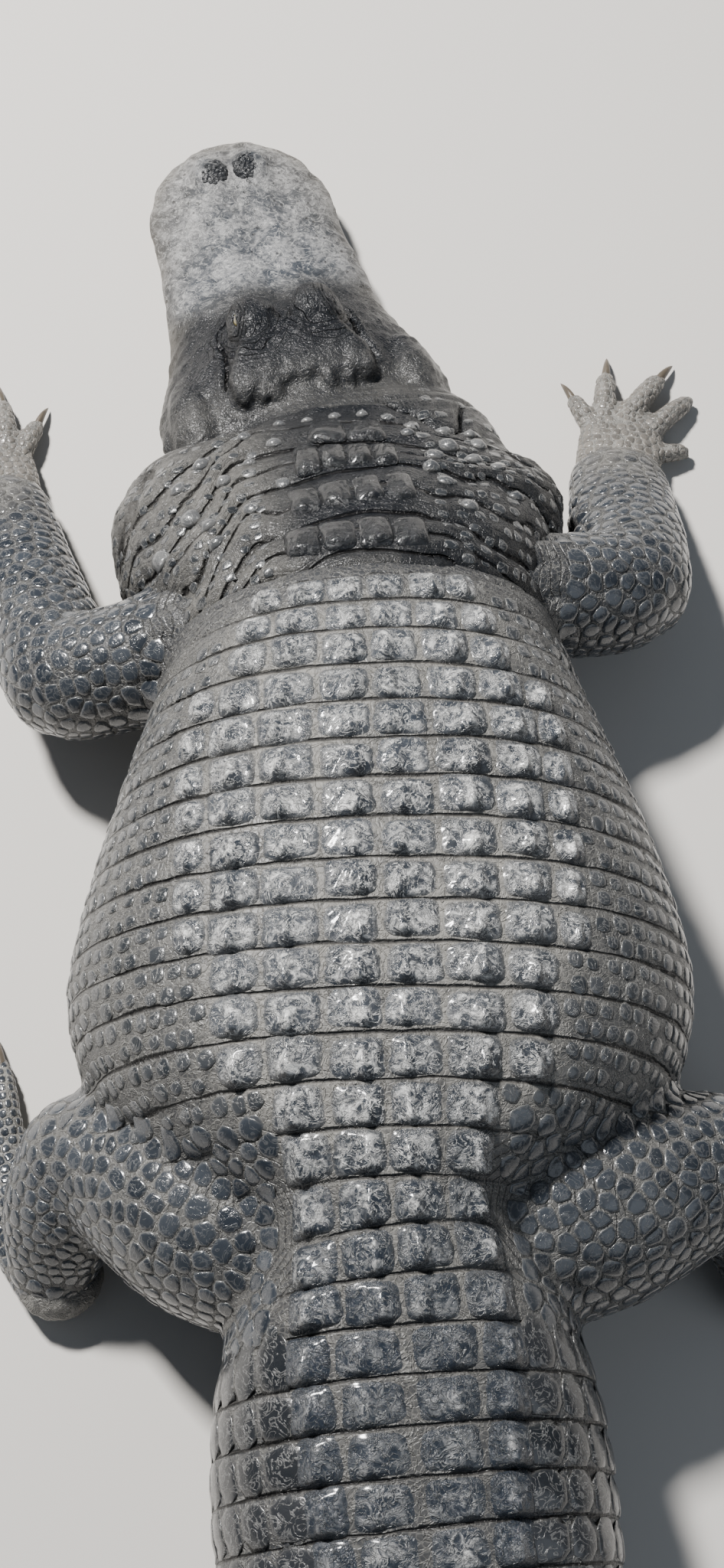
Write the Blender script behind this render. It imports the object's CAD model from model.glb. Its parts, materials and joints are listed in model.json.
"""A life-size american alligator resting on its belly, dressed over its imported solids.

Flesh is one hide, remeshed from the same stations as the solids and shaped by numpy fields.
Scutes are grids laid on the back, and smaller scales are cells grown around roots on the hide.
Everything is in metres; +Y is towards the head and +X is the animal's right.
"""

import json
import math

import bmesh
import bpy
import numpy as np
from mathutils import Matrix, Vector
from mathutils.bvhtree import BVHTree
from mathutils.kdtree import KDTree

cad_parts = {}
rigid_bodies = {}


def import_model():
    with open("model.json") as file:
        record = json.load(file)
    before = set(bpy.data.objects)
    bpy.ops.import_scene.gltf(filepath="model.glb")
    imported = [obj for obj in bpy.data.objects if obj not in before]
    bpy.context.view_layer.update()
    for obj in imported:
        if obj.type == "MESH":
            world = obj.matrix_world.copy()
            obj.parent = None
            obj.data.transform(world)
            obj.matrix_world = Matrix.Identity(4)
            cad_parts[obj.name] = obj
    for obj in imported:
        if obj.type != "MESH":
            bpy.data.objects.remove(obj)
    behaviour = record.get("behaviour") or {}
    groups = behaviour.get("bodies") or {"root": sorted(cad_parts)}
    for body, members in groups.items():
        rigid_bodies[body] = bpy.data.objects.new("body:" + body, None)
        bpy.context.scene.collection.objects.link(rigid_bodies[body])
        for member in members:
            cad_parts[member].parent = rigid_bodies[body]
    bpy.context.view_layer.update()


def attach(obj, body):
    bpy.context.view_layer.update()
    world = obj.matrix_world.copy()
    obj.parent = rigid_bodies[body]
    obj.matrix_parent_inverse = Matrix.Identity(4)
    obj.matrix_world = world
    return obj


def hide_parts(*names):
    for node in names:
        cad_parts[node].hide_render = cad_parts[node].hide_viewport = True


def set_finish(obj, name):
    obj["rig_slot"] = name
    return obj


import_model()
MM = 0.001
UP = np.array([0.0, 0.0, 1.0])

# Stations, as in the solids: x, y, half width, back, widest line (mm), boxiness above it
BODY = np.array([
    [-52, 700, 126, 138, 78, 2.0], [-34, 645, 186, 176, 84, 2.0], [-30, 590, 237, 214, 94, 2.0],
    [-25, 532, 251, 250, 105, 2.0], [-12, 462, 238, 286, 118, 2.1], [-3, 390, 203, 320, 135, 2.2],
    [4, 310, 214, 342, 148, 2.3], [9, 200, 250, 356, 152, 2.3], [14, 90, 283, 361, 152, 2.3],
    [18, -30, 304, 361, 150, 2.3], [20, -125, 278, 355, 148, 2.3], [22, -195, 216, 344, 146, 2.2],
    [25, -262, 140, 332, 146, 2.0], [34, -345, 160, 315, 146, 2.2], [41, -430, 177, 299, 142, 2.3],
    [50, -530, 180, 280, 132, 2.4], [66, -660, 168, 255, 118, 2.4], [87, -800, 139, 228, 104, 2.3],
    [126, -940, 109, 200, 93, 2.2], [181, -1080, 81, 174, 84, 2.1], [252, -1210, 59, 150, 74, 2.0],
    [337, -1328, 43, 127, 63, 2.0], [433, -1430, 31, 104, 52, 2.0], [538, -1514, 22, 82, 41, 2.0],
    [648, -1580, 14, 60, 30, 2.0], [760, -1628, 8, 40, 20, 2.0], [862, -1660, 3, 22, 11, 2.0],
]) * [MM, MM, MM, MM, MM, 1]
BELLY_BOXINESS = 3.0
SINK = 6 * MM

# Head stations: forward, half width, top, lip, mouth line (mm), boxiness
UPPER_HEAD = np.array([
    [-72, 118, 122, 90, 78, 1.9], [-40, 152, 142, 94, 78, 1.7], [-8, 168, 152, 92, 75, 1.6],
    [26, 167, 153, 85, 68, 1.6], [62, 157, 150, 76, 60, 1.7], [102, 142, 138, 67, 54, 1.8],
    [145, 129, 119, 60, 50, 2.0], [195, 122, 102, 56, 47, 2.2], [245, 117, 92, 52, 44, 2.3],
    [290, 112, 85, 50, 42, 2.3], [335, 113, 80, 48, 41, 2.3], [374, 102, 78, 46, 40, 2.3],
    [406, 84, 74, 45, 39, 2.2], [430, 60, 66, 43, 38, 2.1], [444, 32, 56, 42, 38, 2.0],
    [449, 10, 50, 41, 38, 2.0],
]) * [MM, MM, MM, MM, MM, 1]
# Lower jaw: forward, half width, widest line, mouth line (mm)
LOWER_JAW = np.array([
    [-72, 120, 44, 78], [-40, 154, 48, 78], [-8, 169, 48, 75], [26, 165, 46, 68], [62, 152, 40, 60],
    [102, 136, 35, 54], [145, 123, 31, 50], [195, 115, 28, 47], [245, 110, 26, 44], [290, 105, 25, 42],
    [335, 103, 24, 41], [374, 92, 23, 40], [406, 73, 22, 39], [427, 50, 22, 38], [439, 22, 22, 38],
]) * MM
HEAD_YAW = math.radians(15)
HEAD_PLACE = np.array([-62, 700, 0]) * MM
HEAD_AXES = np.array([[math.cos(HEAD_YAW), math.sin(HEAD_YAW), 0],
                      [-math.sin(HEAD_YAW), math.cos(HEAD_YAW), 0], [0, 0, 1]])
EYES = np.array([[-45, 106, 149], [45, 106, 149]]) * MM
EYE_RADIUS = 14 * MM
LID_SHIFT = np.array([8, -4, -4]) * MM
LID_RADII = np.array([31, 38, 22]) * MM
NOSTRILS = np.array([[-22, 384, 80], [22, 384, 80]]) * MM

# Limb stations: x, y, z, radius across, radius up (mm)
LIMBS = {name: np.array(rows) * MM for name, rows in {
    "left_upper_arm": [[-130, 368, 165, 74, 80], [-215, 355, 146, 68, 70], [-300, 345, 122, 67, 66]],
    "left_forearm": [[-318, 352, 112, 66, 64], [-352, 435, 86, 62, 57], [-384, 520, 60, 58, 46],
                     [-412, 600, 40, 55, 34]],
    "right_upper_arm": [[125, 424, 165, 74, 80], [205, 432, 145, 68, 70], [275, 450, 122, 66, 67]],
    "right_forearm": [[292, 466, 112, 67, 64], [298, 525, 86, 64, 57], [297, 585, 62, 61, 46],
                      [296, 640, 42, 57, 34]],
    "left_thigh": [[-70, -258, 156, 104, 106], [-150, -228, 148, 100, 102], [-232, -182, 126, 76, 80]],
    "left_shank": [[-262, -180, 118, 70, 66], [-284, -210, 92, 63, 58], [-296, -238, 66, 54, 46],
                   [-302, -258, 46, 46, 35]],
    "right_thigh": [[125, -252, 156, 104, 106], [222, -220, 148, 104, 100], [325, -188, 124, 76, 79]],
    "right_shank": [[356, -188, 114, 70, 66], [378, -216, 90, 63, 57], [392, -246, 65, 54, 45],
                    [402, -270, 46, 46, 35]],
}.items()}

# Digits: root outwards and ahead of the wrist, turn outwards, length, thickness (mm), has a claw
FORE_DIGITS = [[-44, 80, -36, 50, 11.5, True], [-30, 98, -6, 66, 13, True], [0, 104, 24, 74, 13.5, True],
               [28, 84, 33, 76, 13, False], [38, 52, 64, 46, 11, False]]
HIND_DIGITS = [[-30, 138, -22, 88, 14, True], [-10, 150, -5, 106, 15, True], [14, 148, 13, 104, 14.5, True],
               [34, 130, 32, 82, 12.5, False]]
PAWS = {
    "left_hand": dict(place=(-416, 612), heading=-18, out=-1, palm=(92, 52), digits=FORE_DIGITS),
    "right_hand": dict(place=(296, 652), heading=12, out=1, palm=(92, 52), digits=FORE_DIGITS),
    "left_foot": dict(place=(-304, -258), heading=-34, out=-1, palm=(140, 48), digits=HIND_DIGITS),
    "right_foot": dict(place=(408, -268), heading=38, out=1, palm=(140, 48), digits=HIND_DIGITS),
}
CLAW_LENGTH = 34 * MM

# Rows of scutes: how many columns, how wide, and where the first row begins
ROW_PITCH = 40.7 * MM
TRUNK_COLUMNS = [3, 3, 3, 4, 4, 4, 4, 4, 4, 4, 3, 3, 3, 2, 2, 2, 2, 2]
TRUNK_WIDTHS = [0.72, 0.82, 0.88, 0.94, 1, 1, 1, 1, 1, 1, 1, 1, 0.97, 0.94, 0.92, 0.92, 0.94, 0.96]
COLUMN_WIDTHS = np.array([54, 56, 51, 36]) * MM
KEEL_SHARE = [0.36, 0.6, 0.52, 0.5]
FIRST_ROW_Y = 350 * MM
TRUNK_ROWS = len(TRUNK_COLUMNS)
TAIL_ROWS = 44
MERGE_ROW = 20
FIRST_CREST = 7

# Sizes of the meshes' cells
HIDE_CELL = 6 * MM
HEAD_CELL = 3.5 * MM
PAW_CELL = 3.5 * MM
# How many plane waves make up the smooth noise, and how round and how long the head's lofts are cut
WAVES = 14
HEAD_AROUND, HEAD_STEPS = 64, 90


# Curves, noise and small tools

def between(rows, t):
    """Rows of a table at places t, on a uniform Catmull-Rom curve through them."""
    t = np.asarray(t, float)
    last = len(rows) - 1
    i = np.clip(np.floor(t).astype(int), 0, last - 1)
    f = (t - i)[..., None]
    a, b, d, e = (rows[np.clip(i + k, 0, last)] for k in (-1, 0, 1, 2))
    return b + 0.5 * ((d - a) * f + (2 * a - 5 * b + 4 * d - e) * f ** 2 + (3 * b - a - 3 * d + e) * f ** 3)


def power(value, exponent):
    """A signed power: the sign of the value times its size to the exponent."""
    return np.sign(value) * np.abs(value) ** exponent


def unit(v):
    """Vectors of length one."""
    return v / np.maximum(np.linalg.norm(v, axis=-1, keepdims=True), 1e-12)


def smoothstep(low, high, x):
    """0 below low, 1 above high, and an S-shaped cubic between."""
    s = np.clip((np.asarray(x) - low) / (high - low), 0, 1)
    return s * s * (3 - 2 * s)


def bump(x, centre, width):
    """A bell: e to the minus of the squared distance from centre, in widths."""
    return np.exp(-((np.asarray(x) - centre) / width) ** 2)


def circle(count):
    """Angles once round, evenly spaced."""
    return np.linspace(0, 2 * np.pi, count, endpoint=False)


def waves(points, size, seed):
    """Smooth noise of about -1 to 1: the mean of plane waves of one length in random directions."""
    draw = np.random.default_rng(seed)
    heading = unit(draw.normal(size=(WAVES, 3)))
    phase = draw.uniform(0, 2 * np.pi, WAVES)
    stretch = draw.uniform(0.7, 1.5, WAVES)
    return np.sin(points @ (heading * (stretch * 2 * np.pi / size)[:, None]).T + phase).mean(-1) * 2.2


# Surfaces of the body, as functions of two parameters

def right_of_body(t):
    """The level unit vector to the animal's right at places t of BODY."""
    last = len(BODY) - 1
    p0 = between(BODY[:, :2], np.maximum(t - 0.05, 0))
    p1 = between(BODY[:, :2], np.minimum(t + 0.05, last))
    d = p1 - p0
    return unit(np.stack([-d[..., 1], d[..., 0], 0 * d[..., 0]], -1))


def body_point(t, angle):
    """A section at place t is a superellipse, flatter below; the angle runs from the right over the back."""
    x, y, half, top, wide, boxiness = np.moveaxis(between(BODY, t), -1, 0)
    c, s = np.cos(angle), np.sin(angle)
    exponent = 2 / np.where(s >= 0, boxiness, BELLY_BOXINESS)
    across = half * power(c, exponent)
    rise = np.where(s >= 0, top - wide, wide + SINK)
    z = np.maximum(wide + rise * power(s, exponent), 0)
    return np.stack([x, y, z], -1) + right_of_body(t) * across[..., None]


PLACES = np.linspace(0, len(BODY) - 1, 521)
CENTRES = between(BODY[:, :2], PLACES)
LENGTHS = np.concatenate([[0], np.cumsum(np.linalg.norm(np.diff(CENTRES, axis=0), axis=1))])
TURNS = np.linspace(0, np.pi, 97)
SECTIONS = body_point(PLACES[:, None] + 0 * TURNS, np.pi / 2 - TURNS[None, :] + 0 * PLACES[:, None])
ARCS = np.concatenate([np.zeros((len(PLACES), 1)),
                       np.cumsum(np.linalg.norm(np.diff(SECTIONS, axis=1), axis=2), axis=1)], axis=1)


def on_body(length, arc):
    """Place and angle at a length along the back and an arc to the right of its middle line."""
    length, arc = np.broadcast_arrays(np.asarray(length, float), np.asarray(arc, float))
    t = np.interp(length, LENGTHS, PLACES)
    cell = np.clip((t / PLACES[1]).astype(int), 0, len(PLACES) - 1)
    rows = ARCS[cell]
    far = np.abs(arc)[..., None]
    k = np.clip((rows < far).sum(-1), 1, len(TURNS) - 1)
    low = np.take_along_axis(rows, (k - 1)[..., None], -1)[..., 0]
    high = np.take_along_axis(rows, k[..., None], -1)[..., 0]
    f = np.clip((np.abs(arc) - low) / np.maximum(high - low, 1e-9), 0, 1)
    turn = TURNS[k - 1] + f * (TURNS[1] - TURNS[0])
    return t, np.pi / 2 - np.sign(arc) * turn


def body_frame(length, arc):
    """Point, right, ahead and outward unit vectors on the body's surface."""
    t, angle = on_body(length, arc)
    point = body_point(t, angle)
    across = unit(body_point(t, angle - 0.04) - body_point(t, angle + 0.04))
    ahead = unit(body_point(np.maximum(t - 0.08, 0), angle) - point)
    out = unit(np.cross(across, ahead))
    return point, across, unit(np.cross(out, across)), out


def girth(length):
    """Half of the way round a section."""
    return np.interp(length, LENGTHS, ARCS[:, -1])


def body_coordinates(points):
    """Length along the back, signed share to the right, and closeness to the body's surface (1 on it)."""
    place = ((points[:, None, 0] - CENTRES[None, ::2, 0]) ** 2
             + (points[:, None, 1] - CENTRES[None, ::2, 1]) ** 2).argmin(1) * 2
    row = between(BODY, PLACES[place])
    off = points[:, :2] - row[:, :2]
    right = right_of_body(PLACES[place])
    across = (off * right[:, :2]).sum(1)
    onward = off[:, 0] * right[:, 1] - off[:, 1] * right[:, 0]
    wide, half = row[:, 4], row[:, 2]
    above = points[:, 2] > wide
    exponent = np.where(above, row[:, 5], BELLY_BOXINESS)
    rise = np.where(above, row[:, 3] - wide, wide + SINK)
    outwards, upwards = np.abs(across / half), np.abs((points[:, 2] - wide) / rise)
    share = (outwards ** exponent + upwards ** exponent) ** (1 / exponent)
    return LENGTHS[place] + onward, across / half, share


def limb_frame(rows, t):
    """A limb's station at t, with the vectors ahead along it, to its side and up from it."""
    line, last = rows[:, :3], len(rows) - 1
    ahead = unit(between(line, np.minimum(t + 0.1, last)) - between(line, np.maximum(t - 0.1, 0)))
    side = unit(np.cross(ahead, UP))
    return between(rows, t), ahead, side, np.cross(side, ahead)


def limb_rings(rows, around, steps):
    """Rings across a limb's curve, with a small and a smaller one past each end to round it."""
    last = len(rows) - 1
    places = np.concatenate([[0, 0, 0], np.linspace(0, last, steps + 1), [last, last, last]])
    shift = np.concatenate([[-0.92, -0.72, -0.4], np.zeros(steps + 1), [0.4, 0.72, 0.92]])
    shrink = np.concatenate([[0.35, 0.68, 0.92], np.ones(steps + 1), [0.92, 0.68, 0.35]])
    row, ahead, side, rise = limb_frame(rows, places)
    centre = row[:, :3] + ahead * (shift * row[:, 3])[:, None]
    angle = circle(around)
    a = (row[:, 3] * shrink)[:, None] * np.cos(angle)
    b = (row[:, 4] * shrink)[:, None] * np.sin(angle)
    points = centre[:, None] + side[:, None] * a[..., None] + rise[:, None] * b[..., None]
    points[..., 2] = np.maximum(points[..., 2], 0)
    return points


def in_head(points):
    """Places in the head's frame (right, forward, up) brought to the body's."""
    return np.asarray(points) @ HEAD_AXES + HEAD_PLACE


def to_head(points):
    """Places in the body's frame brought to the head's."""
    return (points - HEAD_PLACE) @ HEAD_AXES.T


def head_rows(stations):
    """Columns of the head's stations, HEAD_STEPS long, and the angle round it."""
    rows = between(stations, np.linspace(0, len(stations) - 1, HEAD_STEPS))
    return [column[:, None] for column in rows.T], circle(HEAD_AROUND)[None]


def upper_head_rings():
    """Domed above the lip, nearly flat along the mouth line below it."""
    (forward, half, top, lip, mouth, boxiness), angle = head_rows(UPPER_HEAD)
    c, s = np.cos(angle), np.sin(angle)
    across = half * power(c, np.where(s >= 0, 2 / boxiness, 0.8))
    z = lip + np.where(s >= 0, (top - lip) * power(s, 2 / boxiness), (lip - mouth) * power(s, 0.25))
    return in_head(np.stack([across, forward + 0 * across, z], -1))


def lower_jaw_rings():
    """Flat along the mouth line, round below and pressed on the floor."""
    (forward, half, wide, mouth), angle = head_rows(LOWER_JAW)
    c, s = np.cos(angle), np.sin(angle)
    across = half * power(c, 0.8)
    z = wide + np.where(s >= 0, (mouth - 0.6 * MM - wide) * power(s, 0.4), (wide + SINK) * power(s, 0.7))
    return in_head(np.stack([across, forward + 0 * across, np.maximum(z, 0)], -1))


# Meshes

def loft_faces(rings, around, offset=0):
    """Quads between neighbouring rings, and one many-sided face over each end."""
    r, k = np.meshgrid(np.arange(rings - 1), np.arange(around), indexing="ij")
    n = (k + 1) % around
    quads = np.stack([r * around + k, r * around + n, (r + 1) * around + n, (r + 1) * around + k], -1)
    quads = (quads.reshape(-1, 4) + offset).tolist()
    first = (np.arange(around)[::-1] + offset).tolist()
    last = (np.arange(around) + (rings - 1) * around + offset).tolist()
    return quads + [first, last]


def mesh_of(name, vertices, face_sets):
    """A mesh from points and arrays of faces, and the corners of its faces in order."""
    loops = np.concatenate([faces.ravel() for faces in face_sets]).astype(np.int32)
    sizes = np.concatenate([np.full(len(faces), faces.shape[1]) for faces in face_sets])
    mesh = bpy.data.meshes.new(name)
    mesh.vertices.add(len(vertices))
    mesh.vertices.foreach_set("co", np.asarray(vertices, np.float32).ravel())
    mesh.loops.add(len(loops))
    mesh.loops.foreach_set("vertex_index", loops)
    mesh.polygons.add(len(sizes))
    mesh.polygons.foreach_set("loop_start", np.concatenate([[0], np.cumsum(sizes)[:-1]]).astype(np.int32))
    mesh.update(calc_edges=True)
    return mesh, loops


def link_piece(name, mesh, material, smooth=True):
    """An object at the origin that holds the mesh."""
    mesh.polygons.foreach_set("use_smooth", np.full(len(mesh.polygons), smooth))
    piece = bpy.data.objects.new(name, mesh)
    bpy.context.scene.collection.objects.link(piece)
    if material:
        mesh.materials.append(material)
    return piece


def make_object(name, vertices, faces, material=None, smooth=True):
    """An object from points and faces, which are an array or lists of corners."""
    if isinstance(faces, np.ndarray):
        mesh, _ = mesh_of(name, vertices, [faces])
    else:
        mesh = bpy.data.meshes.new(name)
        mesh.from_pydata(np.asarray(vertices).tolist(), [], faces)
    mesh.validate()
    return link_piece(name, mesh, material, smooth)


def loft_object(name, rings, material):
    """An object from one closed loft."""
    count, around = rings.shape[:2]
    return make_object(name, rings.reshape(-1, 3), loft_faces(count, around), material)


def join_lofts(name, lofts, material=None):
    """One mesh of many closed lofts, each a grid of rings."""
    vertices, faces, offset = [], [], 0
    for rings in lofts:
        count, around = rings.shape[:2]
        vertices.append(rings.reshape(-1, 3))
        faces += loft_faces(count, around, offset)
        offset += count * around
    return make_object(name, np.concatenate(vertices), faces, material)


def ball(place, radii):
    """A closed ellipsoid as rings from pole to pole."""
    polar = np.linspace(0.06, np.pi - 0.06, 18)[:, None]
    angle = circle(32)[None]
    shape = np.stack([np.sin(polar) * np.cos(angle), np.sin(polar) * np.sin(angle),
                      -np.cos(polar) + 0 * angle], -1)
    return shape * np.asarray(radii) + np.asarray(place)


def finish_modifiers(piece):
    """The piece's mesh with its modifiers applied."""
    graph = bpy.context.evaluated_depsgraph_get()
    mesh = bpy.data.meshes.new_from_object(piece.evaluated_get(graph))
    piece.modifiers.clear()
    piece.data = mesh
    return piece


def remeshed(piece, cell, smooth_steps=0):
    """One closed surface around all that the piece holds, in even cells."""
    remesh = piece.modifiers.new("one surface", "REMESH")
    remesh.mode = "VOXEL"
    remesh.voxel_size = cell
    remesh.use_smooth_shade = True
    if smooth_steps:
        smooth = piece.modifiers.new("soften", "SMOOTH")
        smooth.iterations = smooth_steps
        smooth.factor = 0.5
    return finish_modifiers(piece)


def read_vectors(rows, key):
    """One vector for each vertex, as an array."""
    vectors = np.empty(len(rows) * 3, np.float32)
    rows.foreach_get(key, vectors)
    return vectors.reshape(-1, 3).astype(float)


def vertices_of(piece):
    """Vertex places as an array."""
    return read_vectors(piece.data.vertices, "co")


def normals_of(piece):
    """Vertex normals as an array."""
    return read_vectors(piece.data.vertex_normals, "vector")


def move_vertices(piece, points):
    """Puts every vertex at its new place, none below the floor."""
    points = points.copy()
    points[:, 2] = np.maximum(points[:, 2], 0)
    piece.data.vertices.foreach_set("co", points.astype(np.float32).ravel())
    piece.data.update()


def press_flat(piece):
    """Merges the faces that lie flat on the floor, which nothing shows."""
    flat = piece.modifiers.new("flat underside", "DECIMATE")
    flat.decimate_type = "DISSOLVE"
    flat.angle_limit = 0.0004
    finish_modifiers(piece)
    piece.data.polygons.foreach_set("use_smooth", np.ones(len(piece.data.polygons), bool))


def paint(piece, **values):
    """A float for each vertex under each name, which materials read; one number goes to all vertices."""
    for name, value in values.items():
        layer = piece.data.attributes.new(name, "FLOAT", "POINT")
        each = np.broadcast_to(value, len(piece.data.vertices))
        layer.data.foreach_set("value", each.astype(np.float32))


# Rows of scutes along the back

FIRST_FRONT = np.interp(-FIRST_ROW_Y, -CENTRES[:, 1], LENGTHS)
ROW_PITCHES = np.array([ROW_PITCH * (0.85 if row < 2 else 1 - 0.32 * max(0, row - TRUNK_ROWS) / TAIL_ROWS)
                        for row in range(TRUNK_ROWS + TAIL_ROWS)])
ROW_FRONTS = FIRST_FRONT + np.concatenate([[0], np.cumsum(ROW_PITCHES)[:-1]])
TAIL_START = ROW_FRONTS[TRUNK_ROWS]


def row_phase(length):
    """Which row a length falls in, counted with its fraction; negative on the neck."""
    edges = np.append(ROW_FRONTS, ROW_FRONTS[-1] + ROW_PITCHES[-1])
    return np.interp(length, edges, np.arange(len(edges)), left=-1, right=len(edges) + 1)


# Hide: the flesh of neck, trunk, tail and limbs

def swell(points):
    """How far the hide stands out: bands along the rows, folds on the neck and wrinkles at the limbs."""
    length, side, share = body_coordinates(points)
    on_skin = 1 - smoothstep(0.05, 0.16, np.abs(share - 1))
    drift = 9 * MM * waves(points * [1, 0.3, 1], 0.22, 3) * np.abs(side)
    phase = row_phase(length + drift * smoothstep(0.3, 0.8, np.abs(side)))
    valley = np.abs(2 * (phase % 1) - 1) ** 6
    banded = np.where(phase > 0, 1.0, 0.0) * smoothstep(0.1, 0.8, np.abs(side))
    deep = 3.2 + 2.6 * smoothstep(TAIL_START - 0.1, TAIL_START + 0.1, length)
    band = -deep * MM * valley * banded
    neck = 1 - smoothstep(FIRST_FRONT - 0.05, FIRST_FRONT + 0.02, length)
    fold = np.abs(np.sin(np.pi * (length / 0.034 + 0.55 * waves(points * [1, 0.35, 0.6], 0.17, 5)
                                  + 0.9 * np.abs(side) * waves(points, 0.4, 6))))
    folds = (fold ** 0.45 - 0.8) * 9 * MM * neck * (0.35 + 0.65 * smoothstep(0.12, 0.5, np.abs(side)))
    lumps = 5 * MM * waves(points, 0.16, 7) * neck
    shoulder = bump(length, FIRST_FRONT + 0.03, 0.09) * smoothstep(0.45, 0.85, np.abs(side))
    crease = np.abs(np.sin(np.pi * (length / 0.015 + 0.5 * waves(points, 0.12, 8)))) ** 0.5 - 0.75
    return (band + folds + lumps + crease * 3.5 * MM * shoulder) * on_skin


def build_hide():
    """Body and limbs lofted, fused in one surface, softened where limbs leave the body, then folded."""
    first = float(np.interp(FIRST_FRONT - 0.07, LENGTHS, PLACES))
    ends, angle = np.meshgrid(np.linspace(first, len(BODY) - 1, 180), circle(96), indexing="ij")
    middle = between(BODY, ends)[..., [0, 1, 4]]
    tuck = 0.8 + 0.2 * smoothstep(FIRST_FRONT - 0.06, FIRST_FRONT - 0.004, np.interp(ends, PLACES, LENGTHS))
    lofts = [middle + (body_point(ends, angle) - middle) * tuck[..., None]]
    lofts += [limb_rings(rows, 40, 14) for rows in LIMBS.values()]
    hide = remeshed(join_lofts("hide", lofts), HIDE_CELL)
    points = vertices_of(hide)
    _, _, share = body_coordinates(points)
    near = bump(share, 1.06, 0.22) * (points[:, 1] > -0.4) * (points[:, 1] < 0.56)
    group = hide.vertex_groups.new(name="joints")
    for level in range(1, 5):
        chosen = np.flatnonzero((near > level / 5)).tolist()
        group.add(chosen, level / 4, "REPLACE")
    smooth = hide.modifiers.new("fillet", "SMOOTH")
    smooth.iterations = 14
    smooth.vertex_group = "joints"
    finish_modifiers(hide)
    points, normals = vertices_of(hide), normals_of(hide)
    move_vertices(hide, points + normals * swell(points)[:, None])
    press_flat(hide)
    return hide


# Scutes and scales

def plate_faces(n):
    """Quads of an n by n grid and of the skirt below its rim."""
    i, j = np.meshgrid(np.arange(n - 1), np.arange(n - 1), indexing="ij")
    a = i * n + j
    top = np.stack([a, a + 1, a + n + 1, a + n], -1).reshape(-1, 4)
    rim = np.concatenate([np.arange(n), np.arange(1, n) * n + n - 1, (n * n - 2 - np.arange(n - 1)),
                          (np.arange(n - 2, 0, -1)) * n])
    base = n * n + np.arange(len(rim))
    skirt = np.stack([rim, base, np.roll(base, -1), np.roll(rim, -1)], -1)
    middle = n * n + len(rim)
    floor = np.stack([base, np.full(len(rim), middle), np.roll(base, -1)], -1)
    return top, rim, skirt, floor


PLATE_GRID = 19
PLATE_TOP, PLATE_RIM, PLATE_SKIRT, PLATE_FLOOR = plate_faces(PLATE_GRID)


def plate(length, arc, long, wide, height, ridge, draw, uv_cell, square, ridge_width=0.2, worn=1.0, base=0.0):
    """A keeled scute on a grid: a rounded square, domed to its rim, whose ridge rises to the rear.

    The height over the hide is rim + keel * bell(across) * rise(along), with ribs that fan out from
    the ridge and a grain of noise; the outline is a superellipse with a little wander.
    """
    s = np.linspace(-1, 1, PLATE_GRID)
    v, u = np.meshgrid(s, s, indexing="ij")
    big = np.maximum(np.abs(u), np.abs(v))
    radius = (np.abs(u) ** square + np.abs(v) ** square) ** (1 / square)
    squeeze = np.where(radius > 0, big / np.maximum(radius, 1e-9), 1)
    wander = 1 + 0.035 * np.sin(3 * np.arctan2(v, u) + draw.uniform(0, 6.3)) * big
    a, b = u * squeeze * wander, v * squeeze * wander
    seedp = np.stack([a * 2 + draw.uniform(0, 50), b * 2, 0 * a], -1)
    rim = smoothstep(0, 1, (1 - big) / (0.26 + 0.08 * (b + 1))) ** 0.75
    off = (a - ridge) / ridge_width
    rise = 0.16 + 0.84 * smoothstep(-0.9, 0.5, -b) - 0.6 * smoothstep(0.55, 1.0, -b)
    keel = np.exp(-np.abs(off) ** 1.4) * rise * (1 - smoothstep(0.7, 1.0, b))
    hill = 0.35 * np.exp(-np.abs(off / 2.6) ** 2) * rise
    fan = np.sin(9 * np.arctan2(a - ridge, -b + 1.35) * 2.6 + draw.uniform(0, 6.3))
    ribs = 0.1 * fan * smoothstep(0.1, 0.5, np.abs(a - ridge)) * rim
    grain = 0.1 * waves(seedp.reshape(-1, 3), 0.6, 11).reshape(a.shape) * rim
    body = 0.24 * rim + 0.1 * (1 - a ** 2) * (1 - b ** 2)
    lift = height * (body + (keel + hill) * rim + ribs + grain) + base * rim
    at_length = length + -b * long / 2
    at_arc = arc + a * wide / 2
    point, _, _, out = body_frame(at_length, at_arc)
    top = point + out * (lift - 1.2 * MM * (1 - rim))[..., None]
    top = top.reshape(-1, 3)
    root = point.reshape(-1, 3)[PLATE_RIM] - out.reshape(-1, 3)[PLATE_RIM] * 5 * MM
    middle = point[PLATE_GRID // 2, PLATE_GRID // 2] - out[PLATE_GRID // 2, PLATE_GRID // 2] * 5 * MM
    vertices = np.concatenate([top, root, middle[None]])
    flat = np.stack([a, b], -1).reshape(-1, 2)
    flat = np.concatenate([flat, flat[PLATE_RIM] * 1.04, [[0, 0]]])
    uv = np.asarray(uv_cell[:2]) + flat * uv_cell[2]
    shine = worn * np.clip(keel + 0.3 * body + 0.5 * hill, 0, 1).ravel()
    edge = np.concatenate([rim.ravel() * 0.55 + 0.45 * shine, np.zeros(len(PLATE_RIM) + 1)])
    tone = np.full(len(vertices), draw.uniform(0, 1) if worn == 1 else worn - 1)
    return dict(v=vertices, uv=uv, edge=edge, tone=tone)


def plates_object(name, plates, material):
    """All plates of one kind in one mesh, with their OFBake map."""
    offsets = np.arange(len(plates))[:, None, None] * (PLATE_GRID ** 2 + len(PLATE_RIM) + 1)
    quads = (np.concatenate([PLATE_TOP, PLATE_SKIRT])[None] + offsets).reshape(-1, 4)
    tris = (PLATE_FLOOR[None] + offsets).reshape(-1, 3)
    vertices, uv, edge, tone = (np.concatenate([p[key] for p in plates]) for key in ("v", "uv", "edge", "tone"))
    return scales_mesh(name, vertices, [quads, tris], uv, dict(edge=edge, tone=tone), material)


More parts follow.
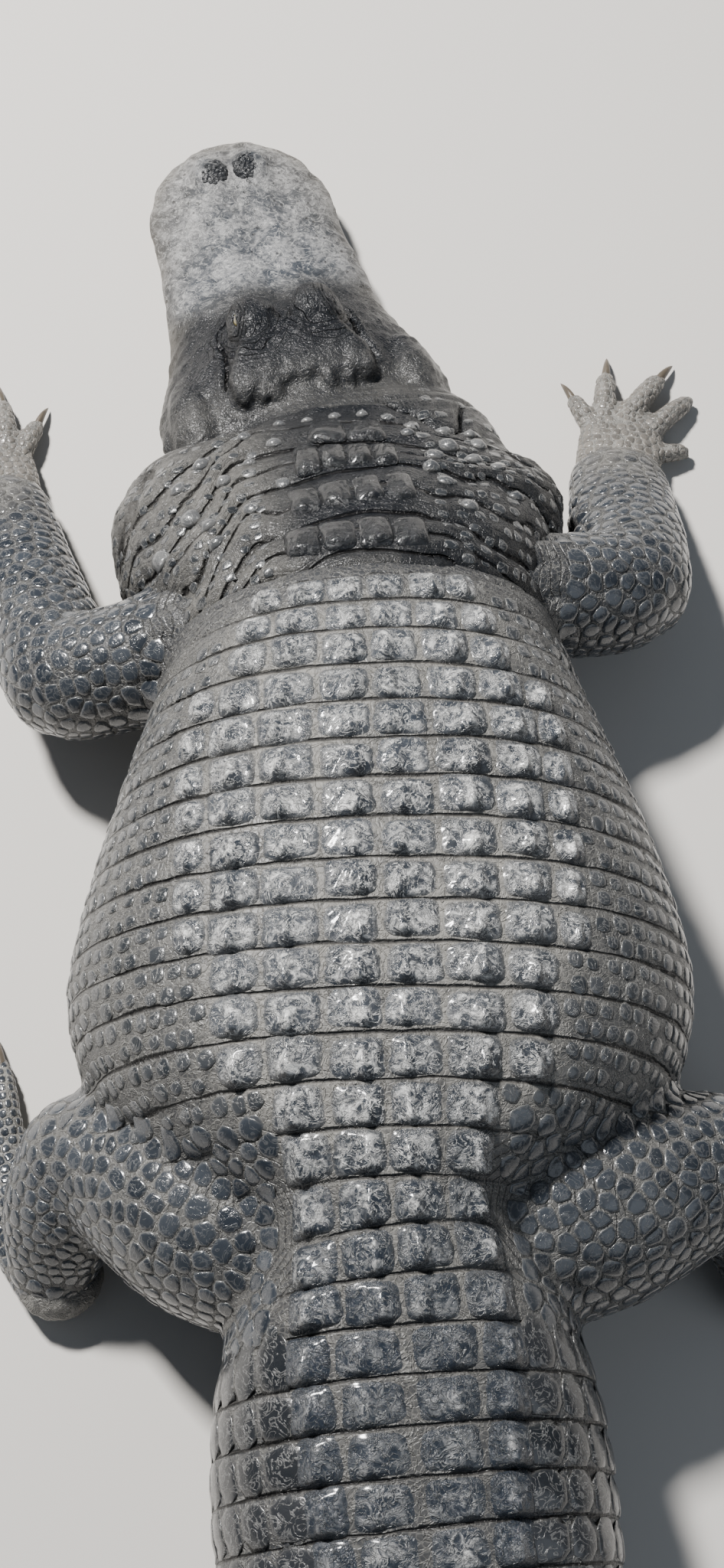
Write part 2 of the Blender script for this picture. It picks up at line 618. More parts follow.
def scales_mesh(name, vertices, face_sets, uv, attributes, material):
    """A mesh from quads and triangles, with a UV for each vertex and its attributes."""
    vertices = vertices.copy()
    vertices[:, 2] = np.maximum(vertices[:, 2], 0.0)
    mesh, loops = mesh_of(name, vertices, face_sets)
    layer = mesh.uv_layers.new(name="OFBake")
    layer.data.foreach_set("uv", np.clip(uv, 0, 1).astype(np.float32)[loops].ravel())
    piece = link_piece(name, mesh, material)
    paint(piece, **attributes)
    return piece


SIDES = 10
NEIGHBOURS = 8
FAR_EDGE = 60 * MM
UV_PATCH = 0.0014
RINGS = np.array([1.0, 0.9, 0.6])
RING_LIFT = np.array([-0.35, 0.62, 0.95])


def crowd_of(points):
    """A tree of points, to find the nearest in."""
    crowd = KDTree(len(points))
    for index, place in enumerate(points):
        crowd.insert(place, index)
    crowd.balance()
    return crowd


def cell_outline(roots, ahead, out, limit_long, limit_wide):
    """Distance from each root to its cell's edge in SIDES directions.

    The edge lies half way to every near root, and inside a rounded box of the given half sizes.
    """
    crowd = crowd_of(roots)
    found = np.array([[hit[1] for hit in crowd.find_n(root, NEIGHBOURS + 1)] for root in roots])[:, 1:]
    right = np.cross(ahead, out)
    offset = roots[found] - roots[:, None]
    dx = (offset * right[:, None]).sum(-1)
    dy = (offset * ahead[:, None]).sum(-1)
    distance = np.maximum(np.hypot(dx, dy), 1e-5)
    heading = np.arctan2(dy, dx)
    theta = circle(SIDES)
    cosine = np.cos(theta[None, None] - heading[..., None])
    edge = np.where(cosine > 0.05, distance[..., None] / (2 * np.maximum(cosine, 0.05)), FAR_EDGE)
    edge = (edge ** -8.0).sum(1) ** (-1 / 8)
    box = (np.abs(np.cos(theta)[None] / limit_wide[:, None]) ** 3.2
           + np.abs(np.sin(theta)[None] / limit_long[:, None]) ** 3.2) ** (-1 / 3.2)
    return (edge ** -10.0 + box ** -10.0) ** (-1 / 10), theta, right


def grow_scales(name, tree, group, material, seed, gap=0.7 * MM, spread=1.25, lean=0.15,
                profile=RING_LIFT):
    """Closed scales on the hide: rings shrink from the cell's edge to a crown over its root.

    Each ring is laid on the hide at its nearest point and lifted along the hide's normal. A keel
    lifts the middle line; lean lifts the rear of the scale over the front of the next.
    """
    draw = np.random.default_rng(seed)
    roots, ahead, out = group["root"], group["ahead"], group["out"]
    wide, long, height = group["wide"], group["long"], group["height"]
    count, keel = len(roots), group["keel"].mean()
    out, ahead = unit(out), unit(ahead - out * (ahead * out).sum(-1, keepdims=True))
    edge, theta, right = cell_outline(roots, ahead, out, long * spread / 2, wide * spread / 2)
    edge = np.maximum(edge - gap, 0.35 * edge)
    radius = edge[:, None, :] * RINGS[None, :, None]
    x, y = radius * np.cos(theta), radius * np.sin(theta)
    flat = roots[:, None, None] + right[:, None, None] * x[..., None] + ahead[:, None, None] * y[..., None]
    flat = np.concatenate([flat.reshape(count, -1, 3), roots[:, None]], axis=1)
    ground, normal = np.empty_like(flat), np.empty_like(flat)
    for index, place in enumerate(flat.reshape(-1, 3)):
        hit, slope, _, _ = tree.find_nearest(place)
        ground.reshape(-1, 3)[index] = hit
        normal.reshape(-1, 3)[index] = slope
    normal = unit(normal * 0.5 + out[:, None] * 0.5)
    lift = np.concatenate([np.repeat(profile, SIDES), [1.0]])[None] * height[:, None]
    none = np.zeros((count, 1))
    at_x = np.concatenate([(x / (wide[:, None, None] / 2)).reshape(count, -1), none], 1)
    at_y = np.concatenate([(y / (long[:, None, None] / 2)).reshape(count, -1), none], 1)
    inside = np.concatenate([np.repeat(RINGS, SIDES), [0.0]])[None] < 0.97
    keeled = keel * np.exp(-(at_x / 0.3) ** 2) * (0.55 - 0.45 * at_y)
    lift = lift + inside * height[:, None] * (keeled - lean * at_y)
    lift *= (1 + 0.18 * draw.normal(size=(count, 1)))
    top = ground + normal * lift[..., None]
    root = ground[:, -1:] - out[:, None] * 4 * MM
    vertices = np.concatenate([top, root], axis=1)
    per = vertices.shape[1]
    ring, side = np.meshgrid(np.arange(len(RINGS) - 1), np.arange(SIDES), indexing="ij")
    turn = (side + 1) % SIDES
    quads = np.stack([ring * SIDES + side, ring * SIDES + turn, (ring + 1) * SIDES + turn,
                      (ring + 1) * SIDES + side], -1).reshape(-1, 4)
    s = np.arange(SIDES)
    last = (len(RINGS) - 1) * SIDES
    crown_faces = np.stack([last + s, last + (s + 1) % SIDES, np.full(SIDES, per - 2)], -1)
    base = np.stack([(s + 1) % SIDES, s, np.full(SIDES, per - 1)], -1)
    tris = np.concatenate([crown_faces, base])
    offsets = (np.arange(count) * per)[:, None, None]
    local = np.stack([np.concatenate([at, none], 1) for at in (at_x, at_y)], -1)
    uv = group["uv"][:, None] * 0.99 + 0.005 + np.clip(local, -1.2, 1.2) * UV_PATCH
    ring_edge = np.concatenate([np.repeat([0.0, 0.4, 0.9], SIDES), [1.0, 0.0]])
    attributes = dict(edge=np.tile(ring_edge, count), tone=np.repeat(draw.uniform(0, 1, count), per))
    return scales_mesh(name, vertices.reshape(-1, 3), [(quads[None] + offsets).reshape(-1, 4),
                       (tris[None] + offsets).reshape(-1, 3)], uv.reshape(-1, 2), attributes, material)


# Scales: roots laid in rings round the body and the limbs

def ring_roots(surface, places, width, seed, low=0.0, high=2 * np.pi, jitter=0.12):
    """Roots in rings: along each ring the angle grows so that a step is one width at that angle.

    surface gives points from (t, angle) and width gives the step from (t, angle).
    """
    draw = np.random.default_rng(seed)
    angle = np.linspace(low, high, 193)
    t_list, a_list, w_list = [], [], []
    for t in places:
        ring = surface(np.full(len(angle), t), angle)
        step = np.linalg.norm(np.diff(ring, axis=0), axis=1)
        middle = (angle[1:] + angle[:-1]) / 2
        cells = np.concatenate([[0], np.cumsum(step / width(np.full(len(middle), t), middle))])
        count = int(round(cells[-1]))
        if count < 1:
            continue
        wanted = (np.arange(count) + draw.uniform(0.2, 0.8) + jitter * draw.normal(size=count)) % count
        chosen = np.interp(wanted * cells[-1] / count, cells, angle)
        t_list.append(t + 0 * chosen)
        a_list.append(chosen)
        w_list.append(width(t + 0 * chosen, chosen))
    return np.concatenate(t_list), np.concatenate(a_list), np.concatenate(w_list)


def steps_along(rows, last, pitch, first=0.0):
    """Places along the curve through rows so that each step is one pitch at its place."""
    t = np.linspace(first, last, 400)
    points = between(rows, t)
    step = np.linalg.norm(np.diff(points, axis=0), axis=1)
    cells = np.concatenate([[0], np.cumsum(step / pitch((t[1:] + t[:-1]) / 2))])
    return np.interp(np.arange(0.5, cells[-1], 1.0), cells, t)


def limb_point(rows, t, angle):
    """A point on a limb's tube: its centre, plus side and rise by the cosine and sine of the angle."""
    row, _, side, rise = limb_frame(rows, np.clip(t, 0, len(rows) - 1))
    return (row[..., :3] + side * (row[..., 3] * np.cos(angle))[..., None]
            + rise * (row[..., 4] * np.sin(angle))[..., None])


def surface_group(surface, t, angle, wide, long, height, keel, uv):
    """A group of roots with the directions ahead and outward of the surface they lie on."""
    point = surface(t, angle)
    onward = surface(t + 0.03, angle) - surface(t - 0.03, angle)
    around = surface(t, angle + 0.02) - surface(t, angle - 0.02)
    out = unit(np.cross(onward, around))
    inwards = surface(t, angle + np.pi) - point
    out = out * np.where((out * inwards).sum(-1, keepdims=True) > 0, -1, 1)
    sizes = dict(wide=wide, long=long, height=height, keel=keel)
    group = {key: np.broadcast_to(value, len(t)).astype(float) for key, value in sizes.items()}
    return dict(group, root=point, ahead=-unit(onward), out=out, uv=uv)


def merge_groups(groups):
    """One group from several."""
    return {key: np.concatenate([g[key] for g in groups]) for key in groups[0]}


def pick(group, chosen):
    """The chosen roots of a group."""
    return {key: value[chosen] for key, value in group.items()}


def settle(group, tree, reach=12 * MM):
    """Moves roots to the hide; those far from it, turned from it or crowding another are passed over."""
    hits = [tree.find_nearest(place) for place in group["root"]]
    ground = np.array([hit[0] for hit in hits])
    slope = np.array([hit[1] for hit in hits])
    kept = (np.linalg.norm(ground - group["root"], axis=1) < reach)
    kept &= ((slope * group["out"]).sum(1) > 0.35) & (ground[:, 2] > 3 * MM)
    group = pick(dict(group, root=ground, out=unit(slope + group["out"])), kept)
    crowd = crowd_of(group["root"])
    size = np.minimum(group["wide"], group["long"]) / 2
    alive = np.ones(len(size), bool)
    for index, place in enumerate(group["root"]):
        if alive[index]:
            for _, other, _ in crowd.find_range(place, size[index]):
                if other > index:
                    alive[other] = False
    return pick(group, alive)


def hide_tree(pieces):
    """A tree of all the hides' faces, on which scales find the hide below them."""
    vertices, faces, offset = [], [], 0
    for piece in pieces:
        mesh = piece.data
        mesh.calc_loop_triangles()
        corners = np.empty(len(mesh.loop_triangles) * 3, np.int32)
        mesh.loop_triangles.foreach_get("vertices", corners)
        vertices.append(vertices_of(piece))
        faces.append(corners.reshape(-1, 3) + offset)
        offset += len(mesh.vertices)
    return BVHTree.FromPolygons(np.concatenate(vertices).tolist(), np.concatenate(faces).tolist())


def body_uv(t, angle):
    """Place on an unwrap of the body: round it across, along it up."""
    along = np.interp(t, PLACES, LENGTHS) / LENGTHS[-1]
    return np.stack([(angle % (2 * np.pi)) / (2 * np.pi), 1 - along], -1)


def tile_uv(t, angle, last, tile):
    """Place on an unwrap of a limb, in its own ninth of the map."""
    u = ((angle + np.pi / 2) % (2 * np.pi)) / (2 * np.pi)
    return np.stack([(u * 0.94 + 0.03 + tile % 3) / 3, (t / last * 0.94 + 0.03 + tile // 3) / 3], -1)


def scute_edge(length):
    """How far out the scutes reach at a length along the back."""
    row = np.clip(row_phase(length).astype(int), 0, TRUNK_ROWS + TAIL_ROWS - 1)
    trunk = np.array([COLUMN_WIDTHS[:c].sum() * w for c, w in zip(TRUNK_COLUMNS, TRUNK_WIDTHS)])
    tail = np.array([tail_spread(k) * (1.44 if k < FIRST_CREST else 1) + (1 if k < FIRST_CREST else 9) * MM
                     if k < MERGE_ROW else 5 * MM for k in range(TAIL_ROWS)])
    return np.concatenate([trunk, tail])[row]


def tail_spread(row):
    """How far a pair of tail crests stands from the middle line, less and less towards the tip."""
    length = ROW_FRONTS[TRUNK_ROWS + row] + ROW_PITCHES[TRUNK_ROWS + row] / 2
    half = between(BODY, np.interp(length, LENGTHS, PLACES))[2]
    return min(COLUMN_WIDTHS[0] * 1.4, half * 0.5) * (1 - 0.62 * row / MERGE_ROW)


# Roots of the scales on flanks, tail, neck, limbs and paws

def side_rows(lengths, offsets, width, start, seed, jitter):
    """Roots in rows across both flanks, counted outwards from the scutes' edge to the belly's middle."""
    draw = np.random.default_rng(seed)
    l_list, a_list, w_list = [], [], []
    for length, offset in zip(lengths, offsets):
        edge, far = float(scute_edge(np.array([length]))[0]) + start, float(girth(length))
        wide = width(length)
        for side in (-1, 1):
            arc = edge + wide * (np.arange(max(1, int((far - edge) / wide))) + 0.5 + offset)
            arc = arc + jitter * wide * draw.normal(size=len(arc))
            l_list.append(length + 0.4 * jitter * wide * draw.normal(size=len(arc)))
            a_list.append(side * arc)
            w_list.append(wide + 0 * arc)
    length, arc, wide = (np.concatenate(a) for a in (l_list, a_list, w_list))
    t, angle = on_body(length, arc)
    return t, angle, wide, length


def flank_groups():
    """Oval scales in two rows to each row of scutes."""
    shares = (0.27, 0.76)
    lengths = [ROW_FRONTS[row] + ROW_PITCHES[row] * share for row in range(TRUNK_ROWS) for share in shares]
    t, angle, wide, _ = side_rows(lengths, [0, 0.35] * TRUNK_ROWS, lambda length: 20 * MM, 2 * MM, 21, 0.16)
    draw = np.random.default_rng(26)
    size = draw.uniform(0.7, 1.1, len(t))
    group = surface_group(body_point, t, angle, wide * size, 18 * MM * size, 1.25 * MM * size, 0.35,
                          body_uv(t, angle))
    return pick(group, near_roots(group["root"]) < 0.3)


def arc_of(t, angle):
    """Arc from the back's middle line to an angle of a section."""
    turn = np.abs(((np.pi / 2 - angle + np.pi) % (2 * np.pi)) - np.pi)
    cell = np.clip((t / PLACES[1]).astype(int), 0, len(PLACES) - 1)
    share = turn / (TURNS[1] - TURNS[0])
    k = np.clip(share.astype(int), 0, len(TURNS) - 2)
    return ARCS[cell, k] + (share - k) * (ARCS[cell, k + 1] - ARCS[cell, k])


# How far the wrinkles round the root of each limb reach
ROOT_REACH = {"left_upper_arm": 130 * MM, "right_upper_arm": 130 * MM, "left_thigh": 135 * MM,
              "right_thigh": 135 * MM}


def near_roots(points):
    """1 where a limb leaves the body, fading to 0 beyond its wrinkled root."""
    best = np.zeros(len(points))
    for name, reach in ROOT_REACH.items():
        centre = LIMBS[name][0, :3] * [1, 1, 0.9]
        distance = np.linalg.norm((points - centre) * [1, 1, 0.7], axis=1)
        best = np.maximum(best, 1 - smoothstep(reach * 0.75, reach * 1.2, distance))
    return best


def tail_groups():
    """One ring of tall square scales to each row of the tail, growing smaller to the tip."""
    lengths = ROW_FRONTS[TRUNK_ROWS:] + ROW_PITCHES[TRUNK_ROWS:] * 0.5

    def width(length):
        half = between(BODY, np.interp(length, LENGTHS, PLACES))[2]
        return float(np.clip(0.17 * half + 8 * MM, 9 * MM, 33 * MM))

    t, angle, wide, length = side_rows(lengths, [0] * TAIL_ROWS, width, 0.5 * MM, 22, 0.03)
    pitch = np.interp(length, ROW_FRONTS, ROW_PITCHES)
    return surface_group(body_point, t, angle, wide, pitch - 2 * MM, 0.8 * MM + 0.01 * wide, 0.4,
                         body_uv(t, angle))


def limb_groups(name, tile):
    """Rings of scales round a limb: large above and near its root, small below and towards the paw."""
    rows = LIMBS[name]
    last = len(rows) - 1
    sizes = {"upper_arm": (28, 25), "forearm": (25, 13), "thigh": (33, 18), "shank": (16, 12)}
    root, end = sizes[name.split("_", 1)[1]]

    def surface(t, angle):
        return limb_point(rows, t, angle)

    def scale_size(t, angle):
        above = smoothstep(-0.75, 0.5, np.sin(angle))
        return (root + (end - root) * t / last) * (0.42 + 0.58 * above) * MM

    places = steps_along(rows[:, :3], last, lambda t: scale_size(t, np.pi / 2) * 0.9)
    seed = 40 + tile + 7 * len(name)
    t, angle, wide = ring_roots(surface, places, lambda t, a: scale_size(t, a) * 1.22, seed, jitter=0.14)
    draw = np.random.default_rng(seed + 1)
    t = np.clip(t + 0.05 * draw.normal(size=len(t)) * last / max(len(places), 1) * 3, 0, last)
    long = scale_size(t, np.pi / 2) * 1.04
    return surface_group(surface, t, angle, wide, long, 0.055 * np.minimum(wide, long) + 0.3 * MM, 0.0,
                         tile_uv(t, angle, last, tile))


def neck_groups():
    """Low uneven scales between the folds at the sides of the neck."""
    last = float(np.interp(FIRST_FRONT - 0.012, LENGTHS, PLACES))
    places = steps_along(BODY[:, :2], last, lambda t: 15.5 * MM, first=0.55)
    t, angle, wide = ring_roots(body_point, places, lambda t, a: (21 + 0 * a) * MM, 23, jitter=0.3)
    draw = np.random.default_rng(24)
    size = draw.uniform(0.75, 1.1, len(t))
    group = surface_group(body_point, t, angle, wide * size, 17 * MM * size, 0.75 * MM * size, 0.0,
                          body_uv(t, angle))
    return pick(group, arc_of(t, angle) > 90 * MM)


# Shields of the nape: y, whole width, how far right of the middle line (mm), how many
NECK_ROWS = [[606, 84, 14, 2], [551, 110, 10, 4], [482, 132, 5, 4], [412, 146, 0, 4]]
# Knobs of the nape: x, y, width (mm)
NECK_KNOBS = [[-172, 567, 19], [-183, 510, 22], [-147, 538, 17], [-160, 484, 20], [-116, 490, 17],
              [-214, 470, 24],
              [-120, 560, 15], [-95, 590, 17], [-196, 545, 18], [-150, 445, 20], [54, 615, 17], [89, 615, 19],
              [49, 595, 15], [93, 574, 21], [78, 546, 20], [76, 510, 19], [89, 484, 18], [128, 590, 18],
              [120, 548, 24], [112, 450, 19], [150, 520, 20], [165, 480, 18], [-60, 632, 13], [-30, 636, 14],
              [0, 634, 13], [28, 628, 14], [-90, 628, 14], [-128, 606, 15], [118, 618, 14], [-84, 520, 14]]


def neck_knobs():
    """Knobs beside the shields of the nape, each standing where the folds leave room."""
    x, y, size = np.array(NECK_KNOBS).T * MM
    t = np.interp(-y, -CENTRES[:, 1], PLACES)
    row = between(BODY, t)
    share = np.clip((x - row[:, 0]) / row[:, 2], -0.97, 0.97)
    angle = np.arccos(power(share, row[:, 5] / 2))
    return surface_group(body_point, t, angle, size * 1.1, size * 1.15, size * 0.3, 0.35, body_uv(t, angle))


# Paws

def paw_point(paw, out, forward, z):
    """A place beside a wrist: outwards, ahead and up, turned by the paw's heading."""
    angle, across = math.radians(paw["heading"]), out * paw["out"]
    c, s = math.cos(angle), math.sin(angle)
    return [paw["place"][0] + across * c + forward * s, paw["place"][1] - across * s + forward * c, z]


def digit_rows(paw, digit):
    """Stations of one digit: from inside the palm over the knuckle to the floor."""
    out, forward, turn, length, thick, _ = digit
    c, s = math.cos(math.radians(turn)), math.sin(math.radians(turn))
    shape = [(-18, 16, 1.1), (length * 0.3, 19, 1), (length * 0.7, 15, 0.88), (length - 8, 9, 0.64)]
    return np.array([paw_point(paw, out + s * along, forward + c * along, z) + [thick * size, thick * size]
                     for along, z, size in shape]) * MM


def palm_rows(paw):
    """Stations of the palm or sole."""
    length, half = paw["palm"]
    stations = ((-0.1, 30, 0.92, 29), (0.4, 24, 0.96, 24), (0.85, 17, 0.94, 17))
    return np.array([paw_point(paw, -half * 0.1 * share, length * share, z) + [half * across, high]
                     for share, z, across, high in stations]) * MM


def web_rows(paw, first, second):
    """A thin web between two digits, as a low flat tube that ends well short of them."""
    a, b = digit_rows(paw, first), digit_rows(paw, second)
    rows = (a[:3] + b[:3]) / 2
    rows[:, 3] = np.linalg.norm(a[:3, :2] - b[:3, :2], axis=1) / 2
    rows[:, 4] = 6 * MM
    rows[:, 2] = [13 * MM, 11 * MM, 8 * MM]
    rows[2, :2] = rows[1, :2] * 0.55 + rows[2, :2] * 0.45
    return rows


def build_paw(name):
    """Palm, digits and webs fused in one surface."""
    paw = PAWS[name]
    digits = paw["digits"]
    lofts = [limb_rings(palm_rows(paw), 32, 8)] + [limb_rings(digit_rows(paw, d), 20, 8) for d in digits]
    if name.endswith("foot"):
        lofts += [limb_rings(web_rows(paw, a, b), 16, 5) for a, b in zip(digits[:-1], digits[1:])]
    piece = remeshed(join_lofts(f"{name}_hide", lofts), PAW_CELL, 4)
    points, normals = vertices_of(piece), normals_of(piece)
    lift = 0.7 * MM * waves(points, 0.018, 31) + 0.5 * MM * waves(points, 0.009, 32)
    move_vertices(piece, points + normals * lift[:, None])
    return piece


def scatter(points, size, taken, seed):
    """Roots spread so that none is nearer than its size to another, nor to those already taken."""
    order = np.random.default_rng(seed).permutation(len(points))
    crowd = crowd_of(taken)
    cell = float(size.max())
    grid, kept = {}, []
    keys = np.floor(points / cell).astype(int)
    for index in order.tolist():
        place, limit = points[index], size[index]
        if crowd.find(place)[2] < limit * 0.8:
            continue
        kx, ky, kz = keys[index]
        near = [other for dx in (-1, 0, 1) for dy in (-1, 0, 1) for dz in (-1, 0, 1)
                for other in grid.get((kx + dx, ky + dy, kz + dz), ())]
        if near and (((points[near] - place) ** 2).sum(1) < limit * limit).any():
            continue
        grid.setdefault((kx, ky, kz), []).append(index)
        kept.append(index)
    return np.array(kept)


def limb_axis(points):
    """Direction of the closest limb's curve to each point."""
    best, heading = np.full(len(points), 1e9), np.zeros((len(points), 3))
    for rows in LIMBS.values():
        line = between(rows[:, :3], np.linspace(0, len(rows) - 1, 14))
        for a, b in zip(line[:-1], line[1:]):
            gap = np.linalg.norm(points - (a + b) / 2, axis=1)
            near = gap < best
            best = np.where(near, gap, best)
            heading[near] = unit(a - b)
    return heading


def fill_group(piece, taken, seed):
    """Scales on what no ring of scales reached, such as elbows, heels, wrists and the sides of the hips."""
    points, normals = vertices_of(piece), normals_of(piece)
    length, side, share = body_coordinates(points)
    root = near_roots(points)
    hips = (length > FIRST_FRONT + 0.5) & (root > 0.35) & (share > 0.93)
    half = between(BODY, np.interp(length, LENGTHS, PLACES))[:, 2]
    hips &= np.abs(side) * half > scute_edge(length) + 6 * MM
    chosen = (points[:, 2] > 0.006) & (hips | (share > 1.05) & (root < 0.98))
    points, normals = points[chosen], normals[chosen]
    size = (10 + 7 * smoothstep(-0.2, 0.7, normals[:, 2])) * MM
    kept = scatter(points, size, taken, seed)
    points, normals, size = points[kept], normals[kept], size[kept]
    share = (points - points.min(0)) / np.ptp(points, axis=0)
    return dict(root=points, ahead=limb_axis(points), out=normals, wide=size * 1.15, long=size * 1.1,
                height=0.07 * size, keel=0 * size, uv=(share[:, :2] * 0.94 + 2.03) / 3)


def paw_groups(name, tile):
    """Small scales over the palm and rings of them across each digit."""
    paw = PAWS[name]
    palm = palm_rows(paw)
    rows_of = [palm] + [digit_rows(paw, digit) for digit in paw["digits"]]
    groups = []
    for index, rows in enumerate(rows_of):
        last = len(rows) - 1
        size = (10.5 if index == 0 else 9.0) * MM

        def surface(t, angle, rows=rows):
            return limb_point(rows, t, angle)

        places = steps_along(rows[:, :3], last, lambda t: size)
        t, angle, wide = ring_roots(surface, places, lambda t, a: size * 1.15 + 0 * a, 60 + tile * 9 + index,
                                    low=-0.5, high=np.pi + 0.5, jitter=0.15)
        cell = np.array([0.1 + 0.3 * (index % 3), 0.25 + 0.5 * (index // 3)])
        uv = np.stack([cell[0] + 0.26 * (angle + 0.5) / 4.2, cell[1] - 0.2 + 0.4 * t / last], -1)
        uv = (uv * 0.98 + [tile % 2, tile // 2]) / 2
        groups.append(surface_group(surface, t, angle, wide, size * 1.02, 0.085 * size, 0.0, uv))
    return merge_groups(groups)


def claw_rings(paw, digit):
    """A curved claw: circles that shrink along an arc bent to the floor, a little flat at the sides."""
    rows = digit_rows(paw, digit)
    tip, back = rows[-1, :3], rows[-2, :3]
    ahead = unit((tip - back) * [1, 1, 0])
    side = np.cross(ahead, UP)
    s = np.linspace(0, 1, 12)
    forward = -7 * MM + (CLAW_LENGTH + 6 * MM) * s
    width = digit[4] * MM * 0.5 * (1 - s ** 1.7) ** 0.8 + 0.25 * MM
    height = 11 * MM + 5 * MM * np.sin(s * 2.2) - 10.5 * MM * s ** 1.8
    angle = circle(14)
    centre = np.array([tip[0], tip[1], 0]) + ahead * forward[:, None] + UP * height[:, None]
    ring = side * np.cos(angle)[:, None] * 0.85 + UP * np.sin(angle)[:, None]
    points = centre[:, None] + ring[None] * width[:, None, None]
    points[..., 2] = np.maximum(points[..., 2], 0.0)
    return points


# Head and neck

def head_lofts():
    """Neck, skull, jaw and table, then lids, nostril mounds, nape, cheeks, horns and ridges, all closed."""
    ends = np.linspace(0, np.interp(FIRST_FRONT + 0.012, LENGTHS, PLACES), 110)
    angle = circle(96)
    neck = body_point(ends[:, None] + 0 * angle, angle[None] + 0 * ends[:, None])
    length = np.interp(ends, PLACES, LENGTHS)
    tuck = 1 - 0.10 * smoothstep(FIRST_FRONT - 0.045, FIRST_FRONT + 0.012, length) ** 2
    middle = between(BODY, ends)[:, [0, 1, 4]]
    neck = middle[:, None] + (neck - middle[:, None]) * tuck[:, None, None]
    corners = np.array([[-80, 2], [-40, 8], [0, 10], [40, 8], [80, 2], [80, 18], [76, 32], [69, 52], [60, 70],
                        [51, 82], [40, 92], [0, 94], [-40, 92], [-51, 82], [-60, 70], [-69, 52], [-76, 32],
                        [-80, 18]]) * MM
    table = []
    for z, grow in ((112, 1.12), (126, 1.08), (146, 1.04), (156, 1.02), (161, 0.97), (162, 0.88)):
        ring = (corners - [0, 46 * MM]) * grow + [0, 46 * MM]
        dish = 2.5 * MM * np.clip(1 - np.abs(ring[:, 0]) / 0.07, 0, 1) * (z > 155)
        table.append(in_head(np.concatenate([ring, (z * MM - dish)[:, None]], axis=1)))
    extras = [ball(eye + LID_SHIFT * [-np.sign(eye[0]), 1, 1], LID_RADII) for eye in EYES]
    extras += [ball(nostril - [0, 0, 7 * MM], np.array([27, 29, 13]) * MM) for nostril in NOSTRILS]
    extras += [ball(np.array([0, -22, 92]) * MM, np.array([104, 62, 62]) * MM)]
    for side in (-1, 1):
        cheek, horns = [126, -2, 86, 37, 84, 50], [[70, 18, 149, 12, 26, 11], [50, 8, 151, 8, 19, 9],
                                                  [31 - 4 * side, 10, 153, 9, 20, 8]]
        lumps = np.array([cheek] + horns) * MM
        extras += [ball(lump[:3] * [side, 1, 1], lump[3:]) for lump in lumps]
        ridge = ball(np.array([side * 50, 92, 124]) * MM, np.array([36, 96, 22]) * MM)
        ridge[..., 2] -= 0.5 * np.maximum(0, ridge[..., 1] - 72 * MM)
        extras.append(ridge)
    return [neck, upper_head_rings(), lower_jaw_rings(), np.array(table)] + [in_head(extra) for extra in extras]


def aperture_axes():
    """Outward, forward and upward axes of each eye's opening, in the head's frame."""
    axes = []
    for side in (-1, 1):
        out = unit(np.array([side * 1.0, 0.22, 0.5]))
        ahead = unit(np.array([0, 1, 0]) - out * out[1])
        axes.append((out, ahead, np.cross(ahead, out) * -side))
    return axes


def mouth_height(forward):
    """Height of the closed mouth's line, rising and falling with the teeth."""
    z = np.interp(forward, UPPER_HEAD[:, 0], UPPER_HEAD[:, 4] + 3 * MM)
    wave = 3.5 * MM * np.sin(2 * np.pi * forward / (105 * MM) + 0.9)
    wave += 1.6 * MM * np.sin(2 * np.pi * forward / (38 * MM))
    return z + wave * smoothstep(60 * MM, 140 * MM, forward)


FOLD_PLACES = np.interp(np.array([-660, -580, -522, -445, -385, -340]) * MM, -CENTRES[:, 1], LENGTHS)


def fold_phase(points, length, side):
    """The neck's folds, one between each two bands of shields, swept to the rear at both sides."""
    out = smoothstep(0.1, 0.45, np.abs(side))
    sweep = np.where(side < 0, 0.15, 0.07) * np.clip(np.abs(side), 0, 1.1) ** 1.8
    wander = 0.3 * waves(points * [1, 0.3, 0.6], 0.15, 5) + 0.16 * waves(points * [1, 0.4, 1], 0.06, 15)
    return np.interp(length - sweep, FOLD_PLACES, np.arange(len(FOLD_PLACES))) + wander * (0.15 + 0.85 * out)


def ear_slit(head):
    """Distance from the slit of the ear, which runs back from the eye under the table's edge."""
    right, forward, up = head.T
    at = 80 * MM + (66 * MM - forward) * 0.13 + 2 * MM * np.sin(forward / (14 * MM))
    ends = 0.02 * smoothstep(30 * MM, 8 * MM, forward) + 0.02 * smoothstep(92 * MM, 112 * MM, forward)
    return np.abs(np.abs(right) - at) + ends + 0.012 * (up < 118 * MM)


